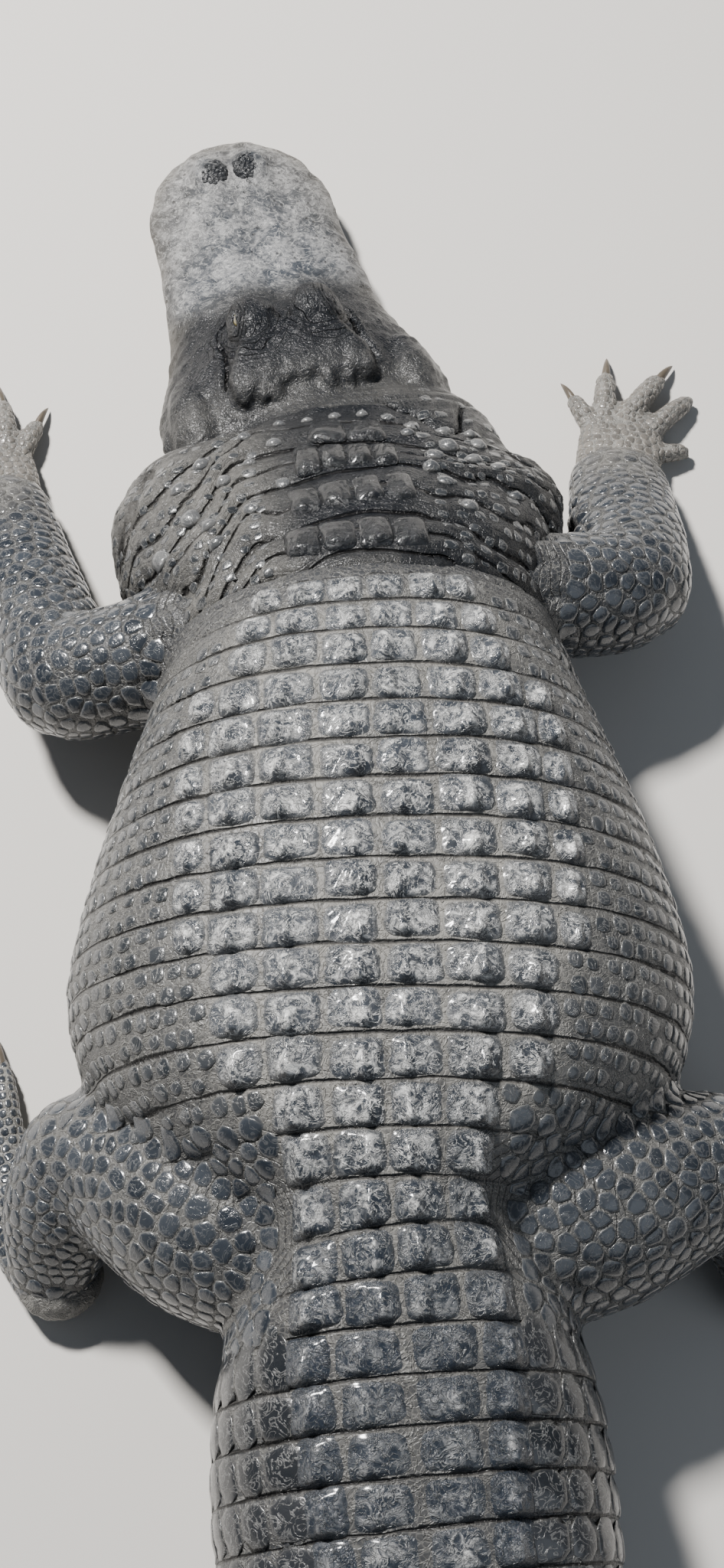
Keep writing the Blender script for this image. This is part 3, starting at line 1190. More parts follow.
def build_front():
    """Head and neck in one surface, with the folds, table edge, ear slits, mouth and rough snout."""
    piece = remeshed(join_lofts("head_and_neck_hide", head_lofts()), HEAD_CELL, 7)
    points, normals = vertices_of(piece), normals_of(piece)
    head = to_head(points)
    right, forward, up = head.T
    is_head = smoothstep(-55 * MM, -15 * MM, forward)
    snout = smoothstep(118 * MM, 170 * MM, forward)
    normal_h = normals @ HEAD_AXES.T
    top = smoothstep(0.2, 0.8, normal_h[:, 2])
    lift = snout * top * (1.8 * MM * waves(head * [1, 0.7, 1], 0.045, 51) + 1.3 * MM * waves(head, 0.019, 52)
                          + 0.6 * MM * waves(head, 0.01, 56))
    lift += snout * top * 2.2 * MM * (bump(np.abs(right), 34 * MM, 13 * MM) - bump(right, 0, 12 * MM))
    lift += is_head * (1 - snout) * (1.2 * MM * waves(head, 0.03, 53) + 0.8 * MM * waves(head, 0.014, 54))
    beside = 1 - smoothstep(0.45, 0.85, np.abs(normal_h[:, 2]))
    gape = up - mouth_height(forward)
    in_mouth = smoothstep(-10 * MM, 30 * MM, forward) * beside
    lift += in_mouth * (-3.2 * MM * bump(gape, 0, 3.2 * MM) + 2.4 * MM * bump(gape, 9 * MM, 6 * MM))
    lift += 1.3 * MM * in_mouth * bump(gape, 10 * MM, 10 * MM) * waves(head * [0, 1, 0], 0.036, 57) * snout
    slit = ear_slit(head)
    lift -= 5 * MM * bump(slit, 0, 3.5 * MM) * is_head
    lift += 2.6 * MM * bump(slit, 8 * MM, 4 * MM) * is_head
    for centre in EYES:
        away = head - centre * [0.95, 1, 1]
        ring = np.linalg.norm(away * [1, 0.85, 1], axis=1)
        furrow = np.abs(np.sin(ring / (3.6 * MM) + 1.4 * waves(head, 0.03, 55))) ** 0.6 - 0.7
        lift += 3.0 * MM * furrow * bump(ring, 40 * MM, 15 * MM)
    length, side, share = body_coordinates(points)
    neck = 1 - smoothstep(-95 * MM, -25 * MM, forward)
    phase = fold_phase(points, length, side)
    aside = smoothstep(0.15, 0.45, np.abs(side))
    deep, half, small = (np.abs(np.sin(np.pi * phase * k)) ** 0.45 - 0.8 for k in (1, 2, 6))
    lift += neck * 8.5 * MM * deep * (0.85 + 0.3 * waves(points, 0.1, 16))
    lift += neck * aside * (5.5 * MM * half + 1.8 * MM * small * (0.7 + 0.6 * waves(points, 0.08, 64)))
    lift += neck * 3.5 * MM * waves(points * [1, 1, 0.6], 0.13, 17)
    lift += neck * 0.8 * MM * waves(points, 0.02, 18)
    ripples = np.abs(np.sin(np.pi * (forward / (17 * MM) + 0.5 * waves(points, 0.09, 19)))) ** 0.5
    collar = bump(forward, -42 * MM, 22 * MM) * ripples
    lift += collar * 4 * MM * smoothstep(40 * MM, 90 * MM, up)
    floor_calm = smoothstep(0.004, 0.03, points[:, 2])
    points = points + normals * (lift * floor_calm)[:, None]
    head = to_head(points)
    for (out, _, _), centre in zip(aperture_axes(), EYES):
        away = head - centre
        radius = np.linalg.norm(away, axis=1)
        turn = np.arccos(np.clip((away @ out) / np.maximum(radius, 1e-6), -1, 1))
        inner = (1 - smoothstep(0.55, 0.95, turn)) * (radius < 45 * MM)
        head += away * (inner * (9 * MM / np.maximum(radius, 1e-6) - 1))[:, None]
    move_vertices(piece, in_head(head))
    press_flat(piece)
    points, normals = vertices_of(piece), normals_of(piece)
    head, normal_h = to_head(points), normals @ HEAD_AXES.T
    right, forward, up = head.T
    gape = up - mouth_height(forward)
    slit = ear_slit(head)
    in_mouth = smoothstep(-10 * MM, 30 * MM, forward) * (1 - smoothstep(0.55, 0.9, np.abs(normal_h[:, 2])))
    length, side, share = body_coordinates(points)
    neck = 1 - smoothstep(-95 * MM, -25 * MM, forward)
    phase = fold_phase(points, length, side)
    pad = np.minimum.reduce([np.linalg.norm((head - n) * [1, 0.9, 1], axis=1) for n in NOSTRILS])
    lids = np.minimum.reduce([np.linalg.norm((head - e) * [1, 0.9, 1], axis=1) for e in EYES])
    ring = lids / (6.5 * MM) + 0.5 * waves(points, 0.03, 65)
    fade = smoothstep(132 * MM, 188 * MM, forward + 14 * MM * waves(points, 0.06, 66))
    table = smoothstep(5 * MM, 60 * MM, forward) * (1 - fade)
    nape = bump(points[:, 0], 0, 115 * MM) * (points[:, 1] < 0.66) * smoothstep(0.35, 0.42, points[:, 1])
    shade = np.maximum.reduce([bump(lids, 0, 52 * MM), bump(pad, 0, 14 * MM), 0.9 * table, nape,
                               0.7 * neck * (side > 0.2)])
    pale = smoothstep(146 * MM, 212 * MM, forward + 12 * MM * waves(points, 0.07, 62))
    dusty_side = neck * np.where(side < 0, 1.5, 0.0) * smoothstep(0.15, 0.5, np.abs(side))
    paint(piece, fold=np.where(neck > 0.02, phase * 2, ring), gape=gape / MM, mouth=in_mouth, slit=slit / MM,
          folded=np.maximum(neck, (neck < 0.02) * 0.75 * bump(lids, 42 * MM, 15 * MM)),
          pale=pale * (0.35 + 0.65 * smoothstep(-0.3, 0.5, normal_h[:, 2])),
          shade=shade * smoothstep(0.0, 0.5, normal_h[:, 2]), low=1 - smoothstep(0.02, 0.10, points[:, 2]),
          dust=waves(points, 0.12, 61) * 0.3 + 0.3 + dusty_side)
    return piece


def lid_shell(index):
    """Both lids of an eye, a closed shell round the eyeball with an almond opening.

    Directions from the eye's centre are polar about the opening's axis. The radius is the eyeball's
    at the lids' edge, swells to a thick rim, then follows the brow's ellipsoid with wrinkles round it.
    """
    side = (-1, 1)[index]
    centre = EYES[index]
    out, ahead, rise = aperture_axes()[index]
    phi = circle(96)[None]
    almond = ((np.abs(np.cos(phi)) / 0.86) ** 1.5 + (np.abs(np.sin(phi)) / 0.36) ** 1.5) ** (-1 / 1.5)
    s = np.linspace(0, 1, 34)[:, None]
    theta_out = almond + (1.62 - almond) * s ** 1.15
    theta_in = almond + (1.5 - almond) * np.linspace(1, 0, 8)[:, None]
    direction = [np.cos(th)[..., None] * out + np.sin(th)[..., None] * (np.cos(phi)[..., None] * ahead
                 + np.sin(phi)[..., None] * rise) for th in (theta_in, theta_out)]
    d = direction[1] / LID_RADII
    o = -LID_SHIFT * [-side, 1, 1] / LID_RADII
    b = (d * o).sum(-1)
    far = (-b + np.sqrt(np.maximum(b ** 2 - (d ** 2).sum(-1) * ((o ** 2).sum() - 1), 0))) / (d ** 2).sum(-1)
    rim = EYE_RADIUS + 0.5 * MM + 2.6 * MM * np.sin(np.clip(s / 0.07, 0, 1) * np.pi / 2)
    blend = smoothstep(0.05, 0.42, s)
    wander = waves((direction[1] * 0.05).reshape(-1, 3), 0.03, 72).reshape(far.shape)
    furrow = np.abs(np.sin(np.pi * (s * 4.3 + 0.22 * wander))) ** 0.5 - 0.8
    wrinkle = 2.0 * MM * furrow * smoothstep(0.08, 0.25, s) * (1 - 0.5 * smoothstep(0.4, 0.7, s)) \
        + 0.35 * MM * waves((direction[1] * 0.05).reshape(-1, 3), 0.016, 71).reshape(far.shape)
    radius = rim * (1 - blend) + (far + 0.2 * MM) * blend + wrinkle - 9 * MM * smoothstep(0.74, 1, s)
    inside = np.full(theta_in.shape, EYE_RADIUS + 0.45 * MM)
    rings = np.concatenate([direction[0] * inside[..., None], direction[1] * radius[..., None]])
    return in_head(centre + rings)


def torus_faces(rings, around):
    """Quads of a grid that closes both ways."""
    r, k = np.meshgrid(np.arange(rings), np.arange(around), indexing="ij")
    n, q = (k + 1) % around, (r + 1) % rings
    return np.stack([r * around + k, r * around + n, q * around + n, q * around + k], -1).reshape(-1, 4)


def nostril_pad(index):
    """A low oval pad of dark lumps: a dome, plus the highest of many small caps scattered on it."""
    centre = NOSTRILS[index] + np.array([0, 0, -4 * MM])
    draw = np.random.default_rng(80 + index)
    radius = np.concatenate([np.linspace(0.02, 1, 30), [1.08]])[:, None]
    angle = circle(72)[None]
    x, y = 20 * radius * np.cos(angle), 22.5 * radius * np.sin(angle)
    z = 9.5 * np.sqrt(np.clip(1 - radius ** 2, 0, 1)) + 0 * x
    k = np.arange(46)
    lump_r, lump_a = np.sqrt((k + 0.5) / 46) * 0.97, k * 2.39996 + draw.normal(size=46) * 0.1
    lump_x, lump_y = 20 * lump_r * np.cos(lump_a), 22.5 * lump_r * np.sin(lump_a)
    gaps = np.hypot(x[..., None] - lump_x, y[..., None] - lump_y)
    caps = np.clip(1 - (gaps / draw.uniform(2.9, 4.2, 46)) ** 2, 0, None).max(-1)
    z = z + 2.4 * caps ** 0.7 * (radius < 1.03)
    crescent = bump(np.hypot((x - 3 * (-1, 1)[index]) / 9.5, (y - 7) / 5.5), 1.0, 0.16) * (y > 6)
    z = z - 4.5 * crescent
    z[-1] = -6
    points = centre + np.stack([x, y, z], -1) * MM
    return in_head(points)


def eye_ball(index):
    """A sphere with its pole along the gaze; its pupil attribute is the angle from the gaze."""
    out, ahead, rise = aperture_axes()[index]
    polar = np.linspace(0.03, np.pi - 0.03, 34)[:, None]
    angle = circle(48)[None]
    points = (np.cos(polar)[..., None] * out + np.sin(polar)[..., None]
              * (np.cos(angle)[..., None] * ahead + np.sin(angle)[..., None] * rise))
    half_open = 0.06 + 0.10 * np.clip(1 - np.abs(np.sin(polar) * np.sin(angle)) / 0.5, 0, 1)
    slit = np.abs(np.sin(polar) * np.cos(angle)) / half_open
    return in_head(EYES[index] + points * EYE_RADIUS), slit + 0 * angle, np.broadcast_to(polar, slit.shape)


def tooth_rings():
    """Cones that stand just outside the lower jaw, each a short curved profile."""
    made = []
    for k in range(13):
        forward = (110 + 300 * k / 12) * MM
        half, lip = (np.interp(forward, UPPER_HEAD[:, 0], UPPER_HEAD[:, c]) for c in (1, 3))
        long = (5 + 4 * math.sin(k * 1.7) ** 2) * MM
        for side in (-1, 1):
            s = np.linspace(0, 1, 7)[:, None]
            angle = circle(9)[None]
            radius = 2.9 * MM * (1 - s ** 1.6) + 0.2 * MM
            z = mouth_height(forward) + 4 * MM - (long + 4 * MM) * s
            x = side * (half - 2.5 * MM - 2 * MM * s)
            made.append(in_head(np.stack([x + radius * np.cos(angle), forward + radius * np.sin(angle),
                                          z + 0 * angle], -1))[::-1])
    return made


# Tail crests

def crest_rings(row, side, spread, height):
    """An upright tail scute: a thin blade over one row, swept back, its edge a soft tooth.

    Across the blade the profile is a rounded wedge; its rim rises with the sine of the way along
    and leans to the rear by the square of its height.
    """
    length = ROW_FRONTS[TRUNK_ROWS + row]
    pitch = ROW_PITCHES[TRUNK_ROWS + row]
    u = np.linspace(0, 1, 11)[:, None]
    v = circle(16)[None]
    long = pitch * 0.97
    profile = np.clip(np.sin(np.pi * u ** 1.25), 0, 1) ** 0.62
    high = height * (profile * 0.86 + 0.14)
    thick = (4.8 * MM + 0.09 * height) * (0.35 + 0.65 * np.sin(np.pi * np.clip(u, 0.04, 0.96)) ** 0.5)
    over = np.clip(np.sin(v), 0, 1) ** 0.8
    z = np.where(np.sin(v) > 0, high * over, -8 * MM)
    x = np.cos(v) * thick * (1 - 0.86 * over) + side * height * 0.16 * over
    y = length + 0.015 * pitch + long * u + 0.42 * height * (over ** 2) * (1 - 0.5 * u)
    y = np.minimum(y, length + pitch * 1.02)
    point, across, _, out = body_frame(np.clip(y, 0, LENGTHS[-1] - 1e-4), side * spread + 0 * y)
    rough = 0.5 * MM * waves((point + out * z[..., None]).reshape(-1, 3), 0.012, 90).reshape(x.shape)
    return point + across * (x + np.sign(x) * rough)[..., None] + out * z[..., None]


def crest_list():
    """Every crest of the tail: two rows of them that draw together and become one."""
    made = []
    for row in range(TAIL_ROWS):
        if row < MERGE_ROW:
            height = (7 + 33 * smoothstep(FIRST_CREST - 1, FIRST_CREST + 9, row)) * MM
            for side in (-1, 1):
                if row >= FIRST_CREST:
                    made.append(crest_rings(row, side, tail_spread(row), height))
        else:
            height = 42 * MM * (1 - (row - MERGE_ROW) / (TAIL_ROWS + 6 - MERGE_ROW))
            made.append(crest_rings(row, 0, 0.0, height))
    return made


def plate_list():
    """Every flat scute of the back, the nape and the tail's base, laid out row by row."""
    draw = np.random.default_rng(100)
    made, cells = [], iter([(0.03 + 0.047 * (k % 21), 0.03 + 0.047 * (k // 21), 0.02) for k in range(420)])
    for row, (columns, scale) in enumerate(zip(TRUNK_COLUMNS, TRUNK_WIDTHS)):
        middle = ROW_FRONTS[row] + ROW_PITCHES[row] / 2
        for side in (-1, 1):
            inner = 0.0
            for column in range(columns):
                wide = COLUMN_WIDTHS[column] * scale
                outer = column == columns - 1 and column > 1
                long = ROW_PITCHES[row] * (0.93 if column == 3 else 1) - 1.6 * MM
                height = [6.8, 8.0, 8.2, 6.5][column] * MM * draw.uniform(0.75, 1.15)
                if row < 2:
                    height *= 0.8
                ridge = side * (KEEL_SHARE[column] - 0.5) * 2 + draw.normal() * 0.05
                at = middle + draw.normal() * 1.2 * MM
                aside = side * (inner + wide / 2) + draw.normal() * MM
                size = long * draw.uniform(0.96, 1.03), (wide + 0.5 * MM) * draw.uniform(0.97, 1.03)
                worn = 1 - 0.4 * float(smoothstep(TRUNK_ROWS - 6, TRUNK_ROWS - 1, row))
                made.append(plate(at, aside, *size, height, ridge, draw, next(cells), 3.0 if outer else 5.0,
                                  worn=worn))
                inner += wide
    for row in range(14):
        middle = ROW_FRONTS[TRUNK_ROWS + row] + ROW_PITCHES[TRUNK_ROWS + row] / 2
        spread, long = tail_spread(row), ROW_PITCHES[TRUNK_ROWS + row] - 1 * MM
        for side in (-1, 1):
            made.append(plate(middle, side * spread * 0.43, long, spread * 0.84, 4 * MM, side * 0.25, draw,
                              next(cells), 5.0, worn=0.55 + 0.2 * float(smoothstep(2, 6, row))))
            if row < FIRST_CREST:
                made.append(plate(middle, side * spread * 1.15, long, spread * 0.62, 6 * MM, side * 0.1, draw,
                                  next(cells), 4.5, ridge_width=0.3, worn=0.5))
    for y, width, aside, count in NECK_ROWS:
        length = float(np.interp(-y * MM, -CENTRES[:, 1], LENGTHS))
        wide = width / count * MM
        for k in range(count):
            off = k - (count - 1) / 2
            at = off * wide + aside * MM
            made.append(plate(length + 2.5 * MM * abs(off), at, 50 * MM * draw.uniform(0.92, 1.05),
                              wide + 2 * MM, 3.4 * MM, math.copysign(0.2, at), draw, next(cells), 5.0,
                              ridge_width=0.5, worn=0.3, base=1.8 * MM))
    return made


# Materials

def put(tree, kind, inputs=(), out=0, **settings):
    """Adds a node, sets or links its inputs by order or name, and gives one of its outputs."""
    made = tree.nodes.new(kind)
    for key, value in settings.items():
        setattr(made, key, value)
    for key, value in (inputs.items() if isinstance(inputs, dict) else enumerate(inputs)):
        if isinstance(value, bpy.types.NodeSocket):
            tree.links.new(value, made.inputs[key])
        elif value is not None:
            made.inputs[key].default_value = value
    return made.outputs[out]


def sum_of(tree, a, b):
    """a plus b."""
    return put(tree, "ShaderNodeMath", [a, b], operation="ADD")


def product(tree, a, b):
    """a times b."""
    return put(tree, "ShaderNodeMath", [a, b], operation="MULTIPLY")


def larger(tree, a, b):
    """The larger of a and b."""
    return put(tree, "ShaderNodeMath", [a, b], operation="MAXIMUM")


def ramp(tree, value, low, high, start=0.0, stop=1.0):
    """A soft step: start below low, stop above high."""
    return put(tree, "ShaderNodeMapRange", [value, low, high, start, stop], interpolation_type="SMOOTHSTEP")


def mixed(tree, share, a, b):
    """Colour a turned to colour b by share."""
    return put(tree, "ShaderNodeMix", {0: share, 6: a, 7: b}, out=2, data_type="RGBA")


def painted(tree, name):
    """A value painted on the mesh."""
    return put(tree, "ShaderNodeAttribute", out=2, attribute_name=name)


def noise(tree, place, scale, detail=4.0, roughness=0.55, distortion=0.0):
    """Cloudy noise, 0 to 1."""
    return put(tree, "ShaderNodeTexNoise", {"Vector": place, "Scale": scale, "Detail": detail,
                                            "Roughness": roughness, "Distortion": distortion})


def colour(r, g, b):
    """A colour with full alpha."""
    return (r, g, b, 1.0)


def new_group(name, inputs, outputs):
    """An empty node group with float inputs and outputs, and its input and output nodes."""
    group = bpy.data.node_groups.new(name, "ShaderNodeTree")
    for label, value in inputs:
        group.interface.new_socket(label, in_out="INPUT", socket_type="NodeSocketFloat").default_value = value
    for label in outputs:
        group.interface.new_socket(label, in_out="OUTPUT", socket_type="NodeSocketFloat")
    return group, group.nodes.new("NodeGroupInput").outputs, group.nodes.new("NodeGroupOutput").inputs


def leather_group():
    """Fine cracked leather: cells with thin grooves, stretched by noise, and a finer grain."""
    group, given, gives = new_group("leather grain", [("Cells per metre", 220.0), ("Stretch", 0.004)],
                                    ["Height", "Grooves"])
    place = put(group, "ShaderNodeTexCoord", out=3)
    warp = put(group, "ShaderNodeTexNoise", {"Vector": place, "Scale": 60.0, "Detail": 2.0}, out=1)
    moved = put(group, "ShaderNodeVectorMath", {0: warp, "Scale": given[1]}, operation="SCALE")
    place = put(group, "ShaderNodeVectorMath", [place, moved], operation="ADD")
    cells = put(group, "ShaderNodeTexVoronoi", {"Vector": place, "Scale": given[0]}, feature="DISTANCE_TO_EDGE")
    groove = ramp(group, cells, 0.0, 0.16, 1.0, 0.0)
    fine = noise(group, place, 900.0, 3.0)
    height = sum_of(group, product(group, groove, -0.7), product(group, fine, 0.45))
    group.links.new(height, gives[0])
    group.links.new(groove, gives[1])
    return group


def wrinkle_group():
    """Crooked wrinkles: thin lines where bent noise passes its middle value."""
    group, given, gives = new_group("wrinkles", [("Per metre", 60.0), ("Bend", 1.0)], ["Wrinkle"])
    place = put(group, "ShaderNodeTexCoord", out=3)
    clouds = noise(group, place, given[0], 3.0, 0.55, given[1])
    off = put(group, "ShaderNodeMath", [clouds, 0.5], operation="SUBTRACT")
    off = put(group, "ShaderNodeMath", [off], operation="ABSOLUTE")
    group.links.new(ramp(group, off, 0.0, 0.045, 1.0, 0.0), gives[0])
    return group


def crease_group():
    """Thin creases where a phase passes whole numbers, broken and widened by noise."""
    group, given, gives = new_group("crease lines", [("Phase", 0.0), ("Width", 0.06), ("Strength", 1.0)],
                                    ["Crease"])
    place = put(group, "ShaderNodeTexCoord", out=3)
    wander = put(group, "ShaderNodeMath", [noise(group, place, 26.0, 3.0), 0.5], operation="SUBTRACT")
    phase = sum_of(group, given[0], product(group, wander, 0.12))
    off = put(group, "ShaderNodeMath", [phase, 0.5], operation="PINGPONG")
    width = product(group, given[1], ramp(group, noise(group, place, 14.0, 2.0), 0.25, 0.75, 0.45, 1.5))
    line = put(group, "ShaderNodeMapRange", [off, 0.0, width, 1.0, 0.0], interpolation_type="SMOOTHSTEP")
    group.links.new(product(group, line, given[2]), gives[0])
    return group


def dust_group():
    """Dust: settles by a given mask, in patches large and small."""
    group, given, gives = new_group("dust patches", [("Where", 0.5), ("Amount", 0.5)], ["Dust"])
    place = put(group, "ShaderNodeTexCoord", out=3)
    large = ramp(group, noise(group, place, 7.0, 4.0), 0.3, 0.72)
    small = ramp(group, noise(group, place, 150.0, 5.0, 0.7), 0.3, 0.75)
    patch = sum_of(group, product(group, large, 0.55), product(group, small, 0.55))
    dust = product(group, product(group, patch, given[0]), given[1])
    group.links.new(put(group, "ShaderNodeClamp", [dust]), gives[0])
    return group


LEATHER, CREASES, DUST, WRINKLES = leather_group(), crease_group(), dust_group(), wrinkle_group()


def use_group(tree, group, inputs, out=0):
    """A group placed in a material."""
    node = tree.nodes.new("ShaderNodeGroup")
    node.node_tree = group
    for key, value in inputs.items():
        if isinstance(value, bpy.types.NodeSocket):
            tree.links.new(value, node.inputs[key])
        else:
            node.inputs[key].default_value = value
    return node.outputs[out]


def new_material(name):
    """A material with its shader, its tree and its object coordinates."""
    material = bpy.data.materials.new(name)
    material.use_nodes = True
    tree = material.node_tree
    return material, tree, tree.nodes["Principled BSDF"], put(tree, "ShaderNodeTexCoord", out=3)


def finish_shader(tree, shader, base, roughness, height=None, depth=0.001, gloss=0.0):
    """Feeds the shader its colour, roughness, bump and a thin clear coat."""
    shader.inputs["Coat Weight"].default_value = gloss
    shader.inputs["Coat Roughness"].default_value = 0.12
    for value, key in ((base, "Base Color"), (roughness, "Roughness")):
        if isinstance(value, bpy.types.NodeSocket):
            tree.links.new(value, shader.inputs[key])
        else:
            shader.inputs[key].default_value = value
    if height is not None:
        normal = put(tree, "ShaderNodeBump", {"Strength": 1.0, "Distance": depth, "Height": height})
        tree.links.new(normal, shader.inputs["Normal"])


def hide_material():
    """Trunk, limb and tail hide: charcoal with brown-grey dust in its grain and dark creases."""
    material, tree, shader, place = new_material("hide")
    grain = use_group(tree, LEATHER, {0: 190.0, 1: 0.006})
    grooves = use_group(tree, LEATHER, {0: 190.0, 1: 0.006}, out=1)
    wrinkles = use_group(tree, WRINKLES, {0: 55.0, 1: 1.4})
    rows = use_group(tree, CREASES, {0: painted(tree, "row"), 1: 0.06, 2: painted(tree, "rowed")})
    folds = use_group(tree, CREASES, {0: painted(tree, "fold"), 1: 0.16, 2: painted(tree, "folded")})
    line = larger(tree, rows, product(tree, folds, 0.3))
    dust = use_group(tree, DUST, {0: painted(tree, "dust"), 1: 0.85})
    base = mixed(tree, noise(tree, place, 22.0), colour(0.014, 0.016, 0.02), colour(0.04, 0.042, 0.046))
    base = mixed(tree, product(tree, grooves, 0.4), base, colour(0.15, 0.146, 0.135))
    base = mixed(tree, product(tree, wrinkles, 0.5), base, colour(0.22, 0.217, 0.205))
    base = mixed(tree, dust, base, colour(0.29, 0.28, 0.255))
    base = mixed(tree, painted(tree, "low"), base, colour(0.12, 0.1, 0.07))
    base = mixed(tree, product(tree, line, 0.95), base, colour(0.005, 0.0045, 0.0045))
    height = sum_of(tree, product(tree, grain, 0.22), product(tree, rows, -1.8))
    height = sum_of(tree, height, product(tree, folds, -0.6))
    height = sum_of(tree, height, product(tree, wrinkles, 0.5))
    rough = ramp(tree, dust, 0.0, 0.7, 0.34, 0.6)
    finish_shader(tree, shader, base, rough, height, 0.0018)
    return material


def head_material():
    """Head and neck hide: pale dusty snout, dark lids, folded neck, yellow at the jaw's edge."""
    material, tree, shader, place = new_material("head")
    pale_mask = painted(tree, "pale")
    calm = ramp(tree, pale_mask, 0.0, 1.0, 1.0, 0.3)
    grain = use_group(tree, LEATHER, {0: 260.0, 1: 0.005})
    grooves = use_group(tree, LEATHER, {0: 260.0, 1: 0.005}, out=1)
    wrinkles = use_group(tree, WRINKLES, {0: 60.0, 1: 1.6})
    folds = use_group(tree, CREASES, {0: painted(tree, "fold"), 1: 0.1, 2: painted(tree, "folded")})
    fine = use_group(tree, CREASES, {0: product(tree, painted(tree, "fold"), 4.0), 1: 0.18,
                                     2: product(tree, painted(tree, "folded"), 0.5)})
    gape = put(tree, "ShaderNodeMath", [painted(tree, "gape")], operation="ABSOLUTE")
    mouth = product(tree, ramp(tree, gape, 0.6, 1.9, 1.0, 0.0), painted(tree, "mouth"))
    slit = ramp(tree, painted(tree, "slit"), 1.2, 2.6, 1.0, 0.0)
    line = larger(tree, larger(tree, folds, mouth), slit)
    base = mixed(tree, noise(tree, place, 40.0, 8.0, 0.7), colour(0.006, 0.0075, 0.0105),
                 colour(0.025, 0.0265, 0.029))
    base = mixed(tree, product(tree, grooves, 0.3), base, colour(0.08, 0.077, 0.07))
    base = mixed(tree, product(tree, wrinkles, 0.18), base, colour(0.13, 0.127, 0.118))
    dust = use_group(tree, DUST, {0: painted(tree, "dust"), 1: 0.45})
    base = mixed(tree, dust, base, colour(0.22, 0.212, 0.195))
    blotch = ramp(tree, noise(tree, place, 26.0, 8.0, 0.75, 0.6), 0.4, 0.6)
    speckle = ramp(tree, noise(tree, place, 170.0, 5.0, 0.72), 0.46, 0.6)
    pits = put(tree, "ShaderNodeTexVoronoi", {"Vector": place, "Scale": 110.0})
    pits = product(tree, ramp(tree, pits, 0.1, 0.32, 1.0, 0.0), ramp(tree, noise(tree, place, 35.0), 0.45, 0.6))
    pale = mixed(tree, blotch, colour(0.04, 0.047, 0.058), colour(0.25, 0.252, 0.256))
    pale = mixed(tree, product(tree, speckle, 0.65), pale, colour(0.035, 0.041, 0.05))
    pale = mixed(tree, product(tree, wrinkles, 0.4), pale, colour(0.55, 0.55, 0.54))
    pale = mixed(tree, product(tree, pits, 0.8), pale, colour(0.02, 0.022, 0.026))
    base = mixed(tree, pale_mask, base, pale)
    base = mixed(tree, product(tree, painted(tree, "shade"), 0.94), base, colour(0.0055, 0.0068, 0.0095))
    lip = product(tree, ramp(tree, painted(tree, "gape"), -16.0, -3.0, 0.0, 1.0),
                  product(tree, ramp(tree, painted(tree, "gape"), 2.0, 9.0, 1.0, 0.0), painted(tree, "mouth")))
    base = mixed(tree, product(tree, lip, 0.75), base, colour(0.30, 0.225, 0.12))
    base = mixed(tree, product(tree, painted(tree, "low"), 0.6), base, colour(0.15, 0.125, 0.085))
    base = mixed(tree, product(tree, line, 0.95), base, colour(0.005, 0.0045, 0.0045))
    height = sum_of(tree, product(tree, product(tree, grain, 0.25), calm), product(tree, line, -1.6))
    height = sum_of(tree, height, product(tree, fine, -0.5))
    height = sum_of(tree, height, product(tree, noise(tree, place, 120.0, 6.0, 0.65), 0.7))
    height = sum_of(tree, height, product(tree, pits, -0.6))
    height = sum_of(tree, height, product(tree, wrinkles, 0.22))
    rough = ramp(tree, pale_mask, 0.0, 1.0, 0.24, 0.34)
    finish_shader(tree, shader, base, rough, height, 0.0015)
    shader.inputs["Specular IOR Level"].default_value = 0.3
    return material


def scute_material():
    """Scutes: blue-grey horn, dusty in its hollows, worn pale in crooked streaks on the ridges."""
    material, tree, shader, place = new_material("scute")
    edge = painted(tree, "edge")
    streaks = noise(tree, place, 75.0, 6.0, 0.72, 0.8)
    wrinkles = use_group(tree, WRINKLES, {0: 70.0, 1: 1.8})
    worn = product(tree, ramp(tree, streaks, 0.45, 0.66), ramp(tree, edge, 0.25, 0.85))
    worn = larger(tree, product(tree, worn, 0.9),
                  product(tree, wrinkles, ramp(tree, edge, 0.1, 0.7, 0.25, 0.7)))
    fresh = ramp(tree, painted(tree, "tone"), -0.7, 0.0, 0.03, 1.0)
    worn = product(tree, worn, fresh)
    base = mixed(tree, painted(tree, "tone"), colour(0.012, 0.018, 0.028), colour(0.04, 0.048, 0.061))
    base = mixed(tree, ramp(tree, painted(tree, "tone"), -0.7, -0.55, 1.0, 0.0), base,
                 colour(0.006, 0.0075, 0.01))
    dust = use_group(tree, DUST, {0: ramp(tree, edge, 0.0, 0.6, 1.0, 0.18), 1: 0.8})
    base = mixed(tree, product(tree, dust, fresh), base, colour(0.25, 0.243, 0.225))
    base = mixed(tree, worn, base, colour(0.8, 0.8, 0.78))
    height = sum_of(tree, product(tree, streaks, 1.4), product(tree, noise(tree, place, 420.0, 3.0), 0.25))
    height = sum_of(tree, height, product(tree, wrinkles, 0.6))
    rough = ramp(tree, dust, 0.0, 0.6, 0.17, 0.45)
    finish_shader(tree, shader, base, rough, height, 0.0017, 0.4)
    return material


